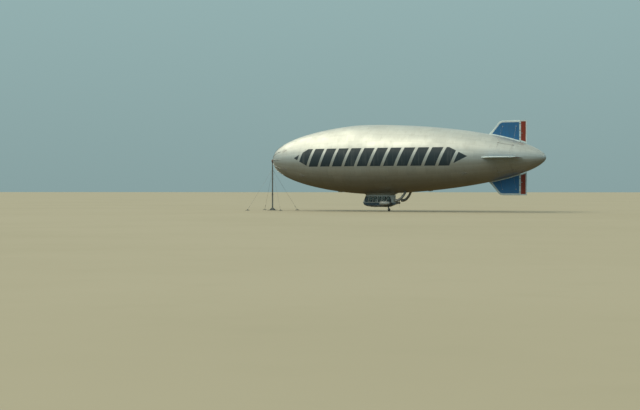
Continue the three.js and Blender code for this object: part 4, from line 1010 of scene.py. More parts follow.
def finer(outline, step):
    # the same closed outline, with more points along its straight sides
    points = []
    for a, b in zip(outline, outline[1:] + outline[:1]):
        pieces = max(1, math.ceil(math.dist(a, b) / step - 0.01))
        points += [tuple(start + (end - start) * i / pieces for start, end in zip(a, b))
                   for i in range(pieces)]
    return points


def windowSeals(name, skin, doorOnly):
    # a rubber frame round each opening, laid on the car's skin
    bm = bmesh.new()
    edges = [(0.03, -0.004), (0.03, 0.006), (0.022, 0.014), (-0.016, 0.014), (-0.022, 0.006), (-0.022, -0.05)]
    grown = [windowOutlines(grow, doorOnly) for grow, lift in edges]
    for window in zip(*grown):
        rings = []
        for (outline, axis, start, end), (grow, lift) in zip(window, edges):
            out = -1 if axis == "x" or end < 0 else 1
            far = start if out < 0 else end
            ring = []
            for u, v in finer(outline, 0.08):
                origin = Vector((far, u, v) if axis == "x" else (u, far, v))
                way = Vector((1, 0, 0) if axis == "x" else (0, -out, 0))
                spot, normal = skin.ray_cast(origin, way)[:2]
                ring.append(spot + normal * lift)
            rings.append(ring)
        bridged(bm, rings + rings[:1], capped=False)
    return toObject(bm, name)


def boxObject(x, y, z):
    bm = bmesh.new()
    block(bm, [(low + high) / 2 for low, high in (x, y, z)], [high - low for low, high in (x, y, z)])
    return toObject(bm, "boxCutter", merge=0)


def doorBox(inset=0.0):
    heights = (door["foot"] + inset, door["top"] - inset)
    return boxObject((door["front"] + inset, door["rear"] - inset), (0.3, 1.6), heights)


def part(shell, name, cutter):
    # the part of a shell that lies inside the cutter
    return carve(addPiece(name, shell.data.copy()), cutter, "INTERSECT")


def slab(low, high):
    # a cutter between two heights, wider and longer than the car
    return boxObject((15, 35), (-3, 3), (low, high))


def makeCarBody():
    shell = carShell("carShell", 0, car["wall"])
    frameSkin = part(shell, "carFrame", slab(car["sill"] + 0.001, 0))
    carve(frameSkin, windowCutter(0))
    carve(frameSkin, doorBox())
    dress(frameSkin, "ship", [carWhite], ["car_frame"], "car_white", angle=28, round=0.0025, even=True)

    tub = part(shell, "carTub", slab(-12, car["sill"]))
    carve(tub, doorBox())
    well = bmesh.new()
    rod(well, (25.9, 0, -10), (25.9, 0, -9.4), 0.075, steps=24)
    carve(tub, toObject(well, "pivotWell", merge=0))
    dress(tub, "ship", [carBlue], ["car_tub"], "car_blue", angle=28, round=0.0025, even=True)

    leaf = part(shell, "doorLeaf", doorBox(door["gap"]))
    carve(leaf, windowCutter(0, doorOnly=True))
    dress(leaf, "door", [carBlue], ["door"], "car_blue", angle=28, round=0.0025, even=True)
    shell.data.transform(shipFrame.inverted())
    skin = bmesh.new()
    skin.from_mesh(shell.data)
    tree = BVHTree.FromBMesh(skin)
    skin.free()
    bpy.data.objects.remove(shell)
    dress(windowSeals("windowSeals", tree, False), "ship", [rubber], slot="car_white", angle=40)
    dress(windowSeals("doorSeal", tree, True), "door", [rubber], slot="car_white", angle=40)

    glass = carShell("glassShell", -0.028, 0.014)
    panes = carve(part(glass, "cabinPanes", windowCutter(0.012)), doorBox(-0.002))
    dress(panes, "ship", [windowGlass], ["cabin_glass"], "window_glass", angle=28)
    pane = part(glass, "doorPane", windowCutter(0.012, doorOnly=True))
    dress(pane, "door", [windowGlass], ["door_glass"], "window_glass", angle=28)
    bpy.data.objects.remove(glass)

    band = carShell("bandShell", 0.028, 0.06)
    strip = carve(part(band, "sillStrip", slab(car["sill"] - 0.035, car["sill"] + 0.03)), doorBox(-0.02))
    dress(strip, "ship", [paleMetal], slot="car_white", angle=28)
    rows = bmesh.new()
    for x in car["straps"]:
        block(rows, (x, 0, -9.5), (0.05, 3, 1.4))
    straps = carve(part(band, "bodyStraps", toObject(rows, "strapCutter", merge=0)), doorBox(-0.02))
    dress(straps, "ship", [carBlue], slot="car_blue", angle=28, round=0.0015)
    bpy.data.objects.remove(band)


fairingLevels = [  # height, share of the car's half width, front, rear; the last follows the hull
    (car["roof"], 0.93, 21.12, 27.15), (-7.19, 0.96, 21.02, 27.22), (-7.1, 1.0, 20.9, 27.35),
    (-7.0, 1.06, 20.7, 27.6), (None, 1.16, 20.5, 27.85)]


def makeCarRoof():
    # the fairing that closes the gap between the car and the hull
    rings = []
    for z, half, fore, aft in fairingLevels:
        width = car["half"] * half
        side = smoothLine([(fore, 0), (fore + 0.06, width * 0.35), (fore + 0.5, width * 0.8),
                           (fore + 1.5, width), (aft - 1.2, width), (aft - 0.3, width * 0.8),
                           (aft - 0.03, width * 0.35), (aft, 0)], 5)
        loop = side + [(x, -y) for x, y in reversed(side[1:-1])]
        if z is None:
            rings.append([(x, y, 0.012 - math.sqrt(hullRadius(x) ** 2 - y * y)) for x, y in loop])
        else:
            rings.append([(x, y, z) for x, y in loop])
    for i, (x, y, z) in enumerate(rings[3]):  # no level stands above the hull's own skin
        rings[3][i] = (x, y, min(z, rings[4][i][2] - 0.03))
    bm = bmesh.new()
    bridged(bm, rings)
    shipPiece(bm, "carFairing", [fairingWhite], ["car_roof"], "car_fairing", angle=40)
    bm = bmesh.new()
    tube(bm, [(x, y * 1.004, z + 0.02) for x, y, z in rings[0]], 0.02, steps=8, closed=True)
    bolts(bm, [(x, y, z - 0.02) for x, y, z in rings[4][::3]], 0.02, 0.02)
    tube(bm, [(x, y, z - 0.016) for x, y, z in rings[4]], 0.014, steps=6, closed=True)
    shipPiece(bm, "fairingTrim", [paleMetal], slot="car_white")


def makeDoorFittings():
    x, y = door["front"], car["half"] + door["pinOut"]
    brackets, leaf = bmesh.new(), bmesh.new()
    for z in door["hinges"]:
        block(brackets, (x - 0.055, y - 0.05, z - 0.025), (0.13, 0.075, 0.05), round=0.006)
        rod(brackets, (x, y, z - 0.05), (x, y, z), 0.03, steps=20)
        rod(brackets, (x, y, z - 0.03), (x, y, z + 0.078), 0.015, steps=16)
        bolts(brackets, [(x - 0.09, y - 0.006, z - 0.025)], 0.012, 0.012, axis=(0, 1, 0))
        turned(leaf, sleeve(0.004, 0.07, 0.018, 0.03), (x, y, z), (0, 0, 1), 20)
        block(leaf, (x + 0.085, y - 0.028, z + 0.037), (0.15, 0.05, 0.06), round=0.006)
        bolts(leaf, [(x + 0.07 + 0.05 * i, y, z + 0.037) for i in (0, 1)], 0.01, 0.012, axis=(0, 1, 0))
    start, high = door["handle"]
    handle = [(0, 1.06), (0, 1.12), (0.06, 1.13), (0.14, 1.12), (0.14, 1.06)]
    tube(leaf, smoothLine([(start + along, out, high) for along, out in handle], 3), 0.014)
    block(leaf, (start + 0.07, 1.075, high), (0.2, 0.012, 0.09), round=0.005)
    for z in (-9.02, -8.3):
        block(leaf, (24.2, 0.97, z), (0.3, 0.03, 0.06), round=0.005)
    tube(leaf, [(24.35, 0.99, -8.9), (24.35, 0.93, -8.88), (24.35, 0.93, -8.76), (24.35, 0.99, -8.74)],
         0.012, steps=8)
    shipPiece(brackets, "doorBrackets", [steel], slot="steel_tube")
    dress(toObject(leaf, "doorFittings"), "door", [steel], slot="steel_tube")


handrail = {"out": 1.16, "height": -9.32, "radius": 0.022, "front": 21.95, "rear": 26.3, "posts": 4}


def makeHandrail(name, side):
    bm = bmesh.new()
    y, z, front, rear = handrail["out"] * side, handrail["height"], handrail["front"], handrail["rear"]
    run = smoothLine([(front - 0.2, 0.98 * side, z + 0.03), (front - 0.13, 1.1 * side, z + 0.01),
                      (front, y, z)], 3)
    run += [(x, y, z) for x in (22.5, 23.5, 24.5, 25.5)]
    run += smoothLine([(rear, y, z), (rear + 0.12, 1.1 * side, z + 0.01),
                       (rear + 0.18, 0.97 * side, z + 0.03)], 3)
    tube(bm, run, handrail["radius"], steps=12)
    for x in span(front + 0.05, rear, handrail["posts"] - 1):
        rod(bm, (x, 0.93 * side, z + 0.02), (x, y, z), 0.018, steps=10)
        turned(bm, [(-0.012, 0), (-0.012, 0.045), (0.008, 0.045), (0.014, 0.02), (0.014, 0)],
               (x, 0.955 * side, z + 0.02), (0, side, 0), 16)
    shipPiece(bm, "handrail_" + name + "_tube", [steel], ["handrail_" + name], "steel_tube")


landingLamp = {"side": 0.25, "height": -8.83, "radius": 0.09, "reach": 0.05}


def makeLandingLamps():
    # on the flat of the nose, with their rims and lenses
    bm = bmesh.new()
    r, reach = landingLamp["radius"], landingLamp["reach"]
    rim = [(-0.03, 0), (-0.03, r * 0.9), (reach * 0.5, r * 0.94), (reach * 0.8, r), (reach, r),
           (reach, r * 0.88), (reach * 0.7, r * 0.86), (reach * 0.5, 0)]
    lens = [(reach * 0.96, 0), (reach * 0.9, r * 0.5), (reach * 0.86, r * 0.85), (reach * 0.74, r * 0.85),
            (reach * 0.7, r * 0.5), (reach * 0.52, 0)]
    for side in (-1, 1):
        spot = (car["front"], landingLamp["side"] * side, landingLamp["height"])
        turned(bm, rim, spot, (-1, 0, 0), 32)
        turned(bm, lens, spot, (-1, 0, 0), 32, 1)
    shipPiece(bm, "landingLamps", [paleMetal, lampGlass], slot="car_white")


def makeCarFittings():
    bm = bmesh.new()
    for x, tall in ((22.7, 0.42), (25.3, 0.3)):  # aerials under the belly
        rod(bm, (x, 0.25, -9.62), (x + 0.1, 0.25, -9.62 - tall), 0.012, 0.004, steps=8)
        turned(bm, [(0, 0.05), (0.03, 0.03), (0.05, 0)], (x, 0.25, -9.63), (0, 0, -1), 16)
    block(bm, (24.4, 1.0, -9.42), (0.62, 0.34, 0.035), round=0.008)  # boarding step
    for x in (24.15, 24.65):
        rod(bm, (x, 0.86, -9.3), (x, 1.1, -9.41), 0.016, steps=8)
        rod(bm, (x, 0.8, -9.5), (x, 1.12, -9.43), 0.014, steps=8)
    shipPiece(bm, "carFittings", [steel], slot="steel_tube")
    tail = bmesh.new()
    turned(tail, [(0, 0), (0, 0.05), (-0.05, 0.05), (-0.08, 0.03), (-0.09, 0)], (27.24, 0, -8.35),
           (-1, 0, 0), 20)
    shipPiece(tail, "tailLamp", [paleMetal], slot="car_white")


panel = {"front": 21.44, "hoodSide": 0.335, "dials": [  # height over the deck, radius, places across
    (0.6, 0.05, (-0.25, -0.125, 0, 0.125, 0.25)), (0.49, 0.036, (-0.26, -0.17, -0.08, 0.08, 0.17, 0.26))]}


def dialMarks(bm, centre, lift, reach, length, width, angle):
    # a mark on a dial, pointing out from its centre
    x, y, z = centre
    spot = Matrix.Translation((x + lift, y + math.cos(angle) * reach, z + math.sin(angle) * reach))
    block(bm, (0, 0, 0), (0.001, length, width), 3, turn=spot @ Matrix.Rotation(angle, 4, "X"))


def makePanel():
    front, side, deck = panel["front"], panel["hoodSide"], car["deck"]
    bm = bmesh.new()
    levels = [(deck + z, half, aft) for z, half, aft in ((0.002, 0.17, 21.6), (0.4, 0.2, 21.62),
                                                         (0.44, 0.32, 21.7), (0.66, side, 21.69),
                                                         (0.72, side, 21.62))]
    bridged(bm, [[(front, -half, z), (aft, -half, z), (aft, half, z), (front, half, z)]
                 for z, half, aft in levels])
    hood = [(front, 0.735), (21.6, 0.745), (21.71, 0.72), (21.72, 0.705), (21.6, 0.722), (front, 0.72)]
    bridged(bm, [[(x, y, deck + z - 0.012) for x, z in hood] for y in (-side, side)])
    dials = [(21.701, y, deck + z, r) for z, r, places in panel["dials"] for y in places]
    for number, (x, y, z, r) in enumerate(dials):
        centre = (x - 0.002, y, z)
        rim = [(0, r * 1.18), (0.008, r * 1.15), (0.008, r), (0.002, r * 0.98), (0.002, 0)]
        turned(bm, rim, centre, (1, 0, 0), 20, 1)
        turned(bm, [(-0.002, 0), (-0.002, r * 0.97), (0.0022, r * 0.97), (0.0022, 0)], centre, (1, 0, 0),
               20, 2)
        for step in range(10):
            dialMarks(bm, (x, y, z), 0.0005, r * 0.8, r * 0.22, 0.003, math.radians(225 - 30 * step))
        dialMarks(bm, (x, y, z), 0.001, r * 0.3, r * 0.8, 0.004, math.radians(200 - 37 * (number % 6)))
    for i in range(5):  # engine levers and switches on the pedestal
        y = -0.12 + 0.06 * i
        rod(bm, (21.6, y, deck + 0.36), (21.74, y, deck + 0.4), 0.006, steps=6, index=1)
        turned(bm, [(0, 0), (0, 0.014), (0.02, 0.014), (0.026, 0)], (21.74, y, deck + 0.4), (1, 0, 0.3), 12,
               3 if i % 2 else 1)
    shipPiece(bm, "instrumentPanel", [darkPaint, steel, dialFace, dialMark], ["instrument_panel"],
              "cockpit_dark", angle=25)


trimWheel = {"x": 22.2, "height": 0.42, "radius": 0.24, "rim": 0.018, "spokes": 3, "notches": 24}


def makeTrimWheel():
    deck, reach = car["deck"], trimWheel["radius"]
    centre = Vector((trimWheel["x"], 0, deck + trimWheel["height"]))

    def onWheel(angle, radius, across=0):
        return centre + Vector((math.cos(angle) * radius, across, math.sin(angle) * radius))

    bm = bmesh.new()
    tube(bm, [onWheel(angle, reach) for angle in around(40)], trimWheel["rim"], closed=True)
    hub = [(-0.03, 0), (-0.03, 0.03), (-0.02, 0.042), (0.02, 0.042), (0.03, 0.03), (0.03, 0)]
    turned(bm, hub, centre, (0, 1, 0), 24)
    for angle in around(trimWheel["spokes"], 0.75):
        rod(bm, centre, onWheel(angle, reach - 0.005), 0.013, 0.009, steps=8)
    for angle in around(trimWheel["notches"]):  # for the fingers, round the rim
        rod(bm, onWheel(angle, reach + 0.01, -0.012), onWheel(angle, reach + 0.01, 0.012), 0.009, steps=6)
    block(bm, (centre.x, 0, deck + 0.24), (0.055, 0.046, 0.36), round=0.006)
    block(bm, (centre.x, 0, deck + 0.074), (0.12, 0.09, 0.016), round=0.004)
    shipPiece(bm, "trimWheel", [darkPaint], ["trim_wheel"], "cockpit_dark")


# Seats
seats = {"rows": {"front": 22.2, "middle": 23.45}, "aside": 0.42, "half": 0.23, "bench": (26.1, 0.72),
         "puff": 0.016, "pan": (0.46, 0.13), "back": (0.58, 0.1), "lean": math.radians(12)}

seatLeather = coating("seatLeather", (0.11, 0.07, 0.045), (0.05, 0.035, 0.025), 0.55, scale=9, amount=0.4,
                      grain=0.0008, threads=160, sheen=0.2)
webbing = coating("webbing", (0.1, 0.1, 0.095), (0.2, 0.18, 0.15), 0.8, scale=20, amount=0.3, threads=500)


def soften(piece):
    smooth = piece.modifiers.new("smooth", "SUBSURF")
    smooth.levels = smooth.render_levels = 1
    return piece


def cushion(name, size, matrix, channels):
    # a stuffed cushion: cloth blown up from a rounded box, then pulled in along its sewn channels
    bm = bmesh.new()
    block(bm, (0, 0, 0), [value - 0.03 for value in size], round=0.03, segments=3)
    bmesh.ops.scale(bm, vec=(scale,) * 3, verts=bm.verts)
    piece = meshPiece(bm, name)
    remesh = piece.modifiers.new("remesh", "REMESH")
    remesh.mode, remesh.voxel_size = "VOXEL", 0.009
    applied(piece)
    start = [vert.co.copy() for vert in piece.data.vertices]
    cloth = piece.modifiers.new("cloth", "CLOTH").settings
    cloth.use_pressure, cloth.uniform_pressure_force = True, 4
    cloth.effector_weights.gravity = 0
    for step in range(1, 16):
        bpy.context.scene.frame_set(step)
    applied(piece)
    bpy.context.scene.frame_set(1)
    for vert, rest in zip(piece.data.vertices, start):
        move = vert.co - rest
        if move.length > seats["puff"] / 2:
            vert.co = rest + move.normalized() * seats["puff"] / 2
    half = size[2] / 2 * scale
    for vert in piece.data.vertices:
        for along in channels:
            near = math.exp(-(((vert.co.y - along * scale) / 0.006) ** 2))
            if abs(vert.co.z) > half * 0.3:
                vert.co.z *= 1 - 0.16 * near
    piece.data.transform(shipFrame @ matrix @ Matrix.Scale(1 / scale, 4))
    return soften(piece)


def seatPlaces():
    places = []
    for row, x in seats["rows"].items():
        for side, y in (("port", -seats["aside"]), ("starboard", seats["aside"])):
            places.append((row + "_" + side, "seats_" + row, x, y, seats["half"]))
    places.append(("bench", "seat_bench", seats["bench"][0], 0, seats["bench"][1]))
    return places


def makeSeatFrame(name, nodes, x, y, half):
    # legs, posts and plates, and the halves of a lap belt laid across the cushion
    deck = car["deck"] + 0.002
    bm = bmesh.new()
    for side in (-1, 1):
        across = y + side * half * 0.72
        leg = [(-0.2, 0.01), (-0.17, 0.23), (0.19, 0.23), (0.2, 0.01)]
        tube(bm, [(x + dx, across, deck + z) for dx, z in leg], 0.017, steps=8)
        block(bm, (x, across, deck + 0.012), (0.46, 0.06, 0.02), round=0.004)
        across = y + side * half * 0.8
        post = [(x + dx, across, deck + z) for dx, z in ((0.16, 0.24), (0.235, 0.4), (0.34, 0.96))]
        tube(bm, smoothLine(post, 4), 0.016, steps=8)
    block(bm, (x, y, deck + 0.25), (0.42, half * 1.9, 0.02), round=0.006)
    rod(bm, (x + 0.34, y - half * 0.8, deck + 0.95), (x + 0.34, y + half * 0.8, deck + 0.95), 0.014, steps=8)
    block(bm, (x + 0.285, y, deck + 0.66), (0.015, half * 1.7, 0.5), round=0.005)
    for side in (-1, 1):
        points = [(x + 0.17, y + side * (half - 0.03), deck + 0.3),
                  (x + 0.12, y + side * (half - 0.01), deck + 0.4),
                  (x + 0.02, y + side * half * 0.5, deck + 0.418), (x, y + side * 0.05, deck + 0.42)]
        section = [(-0.022, 0), (0.022, 0), (0.022, 0.006), (-0.022, 0.006)]
        bridged(bm, [[(px + dx, py, pz + dz) for dx, dz in section]
                     for px, py, pz in smoothLine(points, 5)], 1)
    block(bm, (x, y, deck + 0.424), (0.055, 0.07, 0.018), round=0.005)
    shipPiece(bm, "seatFrame_" + name, [steel, webbing], nodes, "seat_cover", angle=30)


def makeSeats():
    deck = car["deck"] + 0.002
    made = {}
    for name, node, x, y, half in seatPlaces():
        lean = Matrix.Rotation(seats["lean"], 4, "Y") @ Matrix.Rotation(math.pi / 2, 4, "Y")
        pan = ("seatPan_" + name, (*seats["pan"], half * 2), Matrix.Translation((x - 0.01, y, deck + 0.325)))
        back = ("seatBack_" + name, (*seats["back"], half * 2),
                Matrix.Translation((x + 0.255, y, deck + 0.69)) @ lean)
        for title, size, spot in (pan, back):
            if size in made:  # the seats are alike, so a cushion is copied to the next seat
                source, there = made[size]
                piece = soften(addPiece(title, source.data.copy()))
                piece.data.transform(shipFrame @ spot @ there.inverted() @ shipFrame.inverted())
            else:
                shares = (-0.45, 0, 0.45) if half < 0.5 else (-0.66, -0.33, 0, 0.33, 0.66)
                long, thick, wide = size
                piece = cushion(title, (long, wide, thick), spot, [half * share for share in shares])
                made[size] = (piece, spot)
            dress(piece, "ship", [seatLeather], slot="seat_cover", angle=180)
        makeSeatFrame(name, [node] if name.endswith("port") or name == "bench" else [], x, y, half)


# Engines
engine = {"side": 2.3, "height": -8.85, "front": 25.0, "rear": 27.1, "radius": 0.43, "wall": 0.035}
nacelleLine = [(0, 0.55), (0.03, 0.72), (0.12, 0.9), (0.3, 1), (0.6, 0.97), (0.85, 0.72), (1, 0.45)]
propeller = {"radius": 1.02, "shaft": 0.05, "disc": 27.36, "spinner": 0.17, "running": 0.016}
bladeSections = [  # share of the radius, chord, thickness, angle from the disc in degrees
    (0.1, 0.12, 0.07, 50), (0.3, 0.2, 0.04, 36), (0.6, 0.19, 0.026, 22), (0.9, 0.15, 0.018, 15),
    (1.0, 0.08, 0.012, 13)]
beam = {"x": 26, "inner": 0.955, "outer": 1.9}
scoop = {"side": 1.75, "mouth": 28.05, "height": -8.3, "radius": 0.3, "wall": 0.05, "hoops": [1, 6, 12, 17]}

engineMetal = coating("engineMetal", (0.2, 0.2, 0.19), (0.05, 0.04, 0.03), 0.45, metallic=0.8, scale=8,
                      amount=0.6)
nacelleWhite = coating("nacelleWhite", (0.48, 0.51, 0.5), (0.16, 0.14, 0.11), 0.33, coat=0.4, scale=2.8,
                       amount=0.4, runs=0.3, worn=(0.4, 0.4, 0.38), wornRadius=0.003)
exhaustSteel = coating("exhaustSteel", (0.16, 0.11, 0.08), (0.03, 0.03, 0.03), 0.6, metallic=0.7, scale=14,
                       amount=0.6)
bladeDark = coating("bladeDark", (0.03, 0.03, 0.031), (0.14, 0.13, 0.12), 0.4, scale=7, amount=0.35,
                    worn=(0.4, 0.4, 0.39), wornRadius=0.003)
tipYellow = coating("tipYellow", (0.55, 0.38, 0.05), (0.2, 0.15, 0.06), 0.5, scale=9, amount=0.35)
scoopCloth = coating("scoopCloth", (0.4, 0.41, 0.4), (0.2, 0.18, 0.15), 0.55, metallic=0.35, scale=4,
                     amount=0.5, runs=0.3, threads=220)


def nacelleRadius(x):
    share = (x - engine["front"]) / (engine["rear"] - engine["front"])
    for (a, low), (b, high) in zip(nacelleLine, nacelleLine[1:]):
        if a <= share <= b:
            return engine["radius"] * (low + (high - low) * (share - a) / (b - a))
    return engine["radius"] * nacelleLine[-1][1]


def makeNacelle(name, side):
    bm = bmesh.new()
    front, rear, wall = engine["front"], engine["rear"], engine["wall"]
    centre = Vector((0, side * engine["side"], engine["height"]))

    def onCowl(x, out, lift):
        return centre + Vector((x, 0, 0)) + out * (nacelleRadius(x) + lift)

    line = [(front + share * (rear - front), out * engine["radius"]) for share, out in nacelleLine]
    outer = smoothLine(line, 5)
    inner = [(min(x, rear - wall), radius - wall) for x, radius in outer[2:]]
    bore = propeller["shaft"] + 0.006
    mouth = (front + 0.012, outer[0][1] - wall)
    turned(bm, outer + [(rear, bore), (rear - wall, bore)] + inner[::-1] + [mouth], centre, steps=64)
    lip = [(front + 0.03 + 0.03 * math.cos(a), outer[0][1] + 0.016 + 0.03 * math.sin(a)) for a in around(10)]
    turned(bm, lip, centre, steps=64, index=1)
    for x in (front + 0.42, front + 1.3):  # straps over the joints between the cowls
        r = nacelleRadius(x)
        strap = [(x - 0.02, r - 0.01), (x - 0.018, r + 0.008), (x + 0.018, r + 0.008), (x + 0.02, r - 0.01)]
        turned(bm, strap, centre, steps=64)
        for out in map(radial, around(16, 0.5)):
            spots = [onCowl(x + dx, out, 0.006) for dx in (-0.05, 0.05)]
            bolts(bm, spots, 0.01, 0.01, axis=out, index=1)
    for angle in (-0.55, 0.55):  # cooling louvres on each upper side
        for i in range(6):
            turn = Matrix.Translation(onCowl(front + 0.6 + 0.09 * i, radial(angle), 0.004))
            turn = turn @ Matrix.Rotation(-angle, 4, "X") @ Matrix.Rotation(0.35, 4, "Y")
            block(bm, (0, 0, 0), (0.05, 0.2, 0.016), turn=turn, round=0.006)
    for i in (-1, 1):  # exhaust stubs low on each side
        start = centre + Vector((front + 1.0, i * 0.22, -0.33))
        bend = [(0, 0, 0), (0.08, i * 0.04, -0.1), (0.26, i * 0.06, -0.13)]
        path = smoothLine([start + Vector(point) for point in bend], 4)
        tube(bm, path, 0.036, steps=14, index=2)
        end = [(-0.01, 0.036), (0.012, 0.04), (0.016, 0.034), (0.004, 0.02), (0, 0)]
        turned(bm, end, path[-1], (1, 0.2 * i, -0.1), 14, 2)
    cooler = centre + Vector((front + 0.35, 0, -0.36))
    turned(bm, [(0, 0), (0, 0.07), (0.05, 0.1), (0.3, 0.11), (0.5, 0.05), (0.52, 0)], cooler, (1, 0, 0.06),
           24)
    turned(bm, [(-0.004, 0), (-0.004, 0.06), (0.002, 0.06), (0.002, 0)], cooler, (1, 0, 0.06), 24, 2)
    shipPiece(bm, "nacelle_" + name + "_cowl", [nacelleWhite, paleMetal, exhaustSteel], ["nacelle_" + name],
              "nacelle_white", angle=38)


cylinder = {"stations": (25.63, 25.86, 26.09), "radius": 0.07, "head": 0.32, "fins": 8, "finStart": 0.156,
            "finStep": 0.02, "finRadius": 0.1}


def makeEngineBlock(name, side):
    bm = bmesh.new()
    centre = Vector((0, side * engine["side"], engine["height"]))
    crankcase = [(25.42, 0), (25.42, 0.06), (25.47, 0.1), (25.5, 0.13), (26.2, 0.13), (26.26, 0.09),
                 (26.3, 0)]
    turned(bm, crankcase, centre, steps=20)
    block(bm, centre + Vector((25.86, 0, -0.15)), (0.62, 0.22, 0.14), round=0.02)
    for x, way in product(cylinder["stations"], (-1, 1)):
        here, out = centre + Vector((x, 0, 0)), Vector((0, way, 0))
        rod(bm, here + out * 0.02, here + out * cylinder["head"], cylinder["radius"], steps=16)
        for i in range(cylinder["fins"]):
            near = cylinder["finStart"] + cylinder["finStep"] * i
            rod(bm, here + out * near, here + out * (near + 0.008), cylinder["finRadius"], steps=16)
        block(bm, here + out * (cylinder["head"] + 0.01), (0.13, 0.05, 0.13), round=0.015)
        rod(bm, here + out * 0.01 + Vector((-0.04, 0, 0.1)), here + out * 0.3 + Vector((-0.04, 0, 0.07)),
            0.012, steps=8)  # push rod
    shipPiece(bm, "engine_" + name + "_block", [engineMetal], ["engine_" + name], "engine_metal", angle=30)


def makePropeller(name, side):
    bm = bmesh.new()
    centre = Vector((0, side * engine["side"], engine["height"]))
    disc, spin, shaft = propeller["disc"], propeller["spinner"], propeller["shaft"]
    start = engine["rear"] + propeller["running"]
    shaftLine = [(engine["rear"] - 0.25, 0), (engine["rear"] - 0.25, shaft), (start, shaft),
                 (start, spin * 0.96)]
    cone = [(start + 0.03, spin), (disc + 0.06, spin), (disc + 0.14, spin * 0.85), (disc + 0.24, spin * 0.5),
            (disc + 0.28, 0)]
    turned(bm, shaftLine + [(start + 0.012, spin)] + smoothLine(cone, 5), centre, steps=40)
    ring = [(disc - 0.13, spin), (disc - 0.128, spin + 0.005), (disc - 0.11, spin + 0.005),
            (disc - 0.108, spin)]
    turned(bm, ring, centre, steps=40, index=1)
    for out in map(radial, around(8, 0.5)):
        bolts(bm, [centre + Vector((disc - 0.17, 0, 0)) + out * spin], 0.01, 0.008, axis=out, index=1)
    foil = []
    for angle in around(18):  # a section with a round nose and a thin trailing edge
        along = -0.5 * math.cos(angle)
        up = math.sin(angle) * (0.5 if math.sin(angle) > 0 else 0.32) * (1 - 0.55 * max(0, along * 2)) ** 0.8
        foil.append((along, up))
    rings = []
    for out, chord, thick, degrees in smoothLine(bladeSections, 5):
        turn = Matrix.Rotation(math.radians(degrees), 2)
        section = [turn @ Vector((along * chord, up * thick)) for along, up in foil]
        rings.append([(disc + point.y, point.x, out * propeller["radius"]) for point in section])
    blade = bmesh.new()
    bridged(blade, rings)
    for face in blade.faces:
        reach = face.calc_center_median().z / propeller["radius"]
        face.material_index = 2 if reach > 0.93 else int(reach > 0.885)
    turned(blade, [(0.06, 0), (0.06, 0.06), (0.16, 0.05), (0.2, 0.035), (0.21, 0)], (disc, 0, 0), (0, 0, 1),
           20)
    place(bm, blade, [Matrix.Translation(centre) @ Matrix.Rotation(angle, 4, "X") for angle in around(2)])
    body = "propeller_" + name
    dress(toObject(bm, body + "_blades"), body, [bladeDark, paleMetal, tipYellow], [body], "propeller_dark",
          angle=40)


def beamRing(y, chord, thick):
    ring = []
    for angle in around(20):
        along = -0.5 * math.cos(angle)
        up = 0.5 * math.sin(angle) * (1 - 0.8 * max(0, along * 2) ** 1.5)
        ring.append((beam["x"] + along * chord, y, engine["height"] + up * thick))
    return ring


def makeOutrigger(name, side):
    bm = bmesh.new()
    x, height, inner, outer = beam["x"], engine["height"], beam["inner"], beam["outer"]
    rings = []
    for y, grow in ((inner, 1.35), (inner + 0.05, 1.16), (inner + 0.13, 1.03), (1.2, 1.0), (1.45, 1.0),
                    (1.7, 1.0), (outer - 0.12, 1.03), (outer - 0.05, 1.16), (outer, 1.35)):
        share = (y - 0.75) / 1.55
        rings.append(beamRing(side * y, (0.7 - 0.2 * share) * (1 + (grow - 1) * 0.35),
                              (0.18 - 0.04 * share) * grow))
    bridged(bm, rings)
    top, foot = Vector((25.93, side * 1.0, -7.62)), Vector((x, side * 1.68, height + 0.05))
    rod(bm, top, foot, 0.035, steps=16)
    for end, along in ((top, foot - top), (foot, top - foot)):
        turned(bm, [(-0.03, 0), (-0.03, 0.05), (0.05, 0.052), (0.09, 0.037), (0.09, 0)], end,
               along.normalized(), 16, 1)
    block(bm, top + Vector((0, -side * 0.03, 0)), (0.2, 0.05, 0.16), 1, round=0.008)
    spots = [top + Vector((dx, 0, dz)) for dx in (-0.075, 0.075) for dz in (-0.055, 0.055)]
    bolts(bm, spots, 0.012, 0.03, axis=(0, side, 0), index=1)
    block(bm, foot + Vector((0, 0, 0.03)), (0.18, 0.14, 0.03), 1, round=0.006)
    for dx in (-0.2, 0.16):  # fuel and control lines clipped under the beam
        points = [(x + dx, side * y, height - 0.105 + 0.02 * (y > 1.7)) for y in (1.0, 1.2, 1.45, 1.7, 1.93)]
        tube(bm, smoothLine(points, 3), 0.012, steps=8, index=2)
        for y in (1.1, 1.4, 1.7):
            block(bm, (x + dx, side * y, height - 0.09), (0.05, 0.03, 0.04), 1, round=0.004)
    shipPiece(bm, "outrigger_" + name + "_beam", [nacelleWhite, steel, rubber], ["outrigger_" + name],
              "outrigger_white", angle=34)


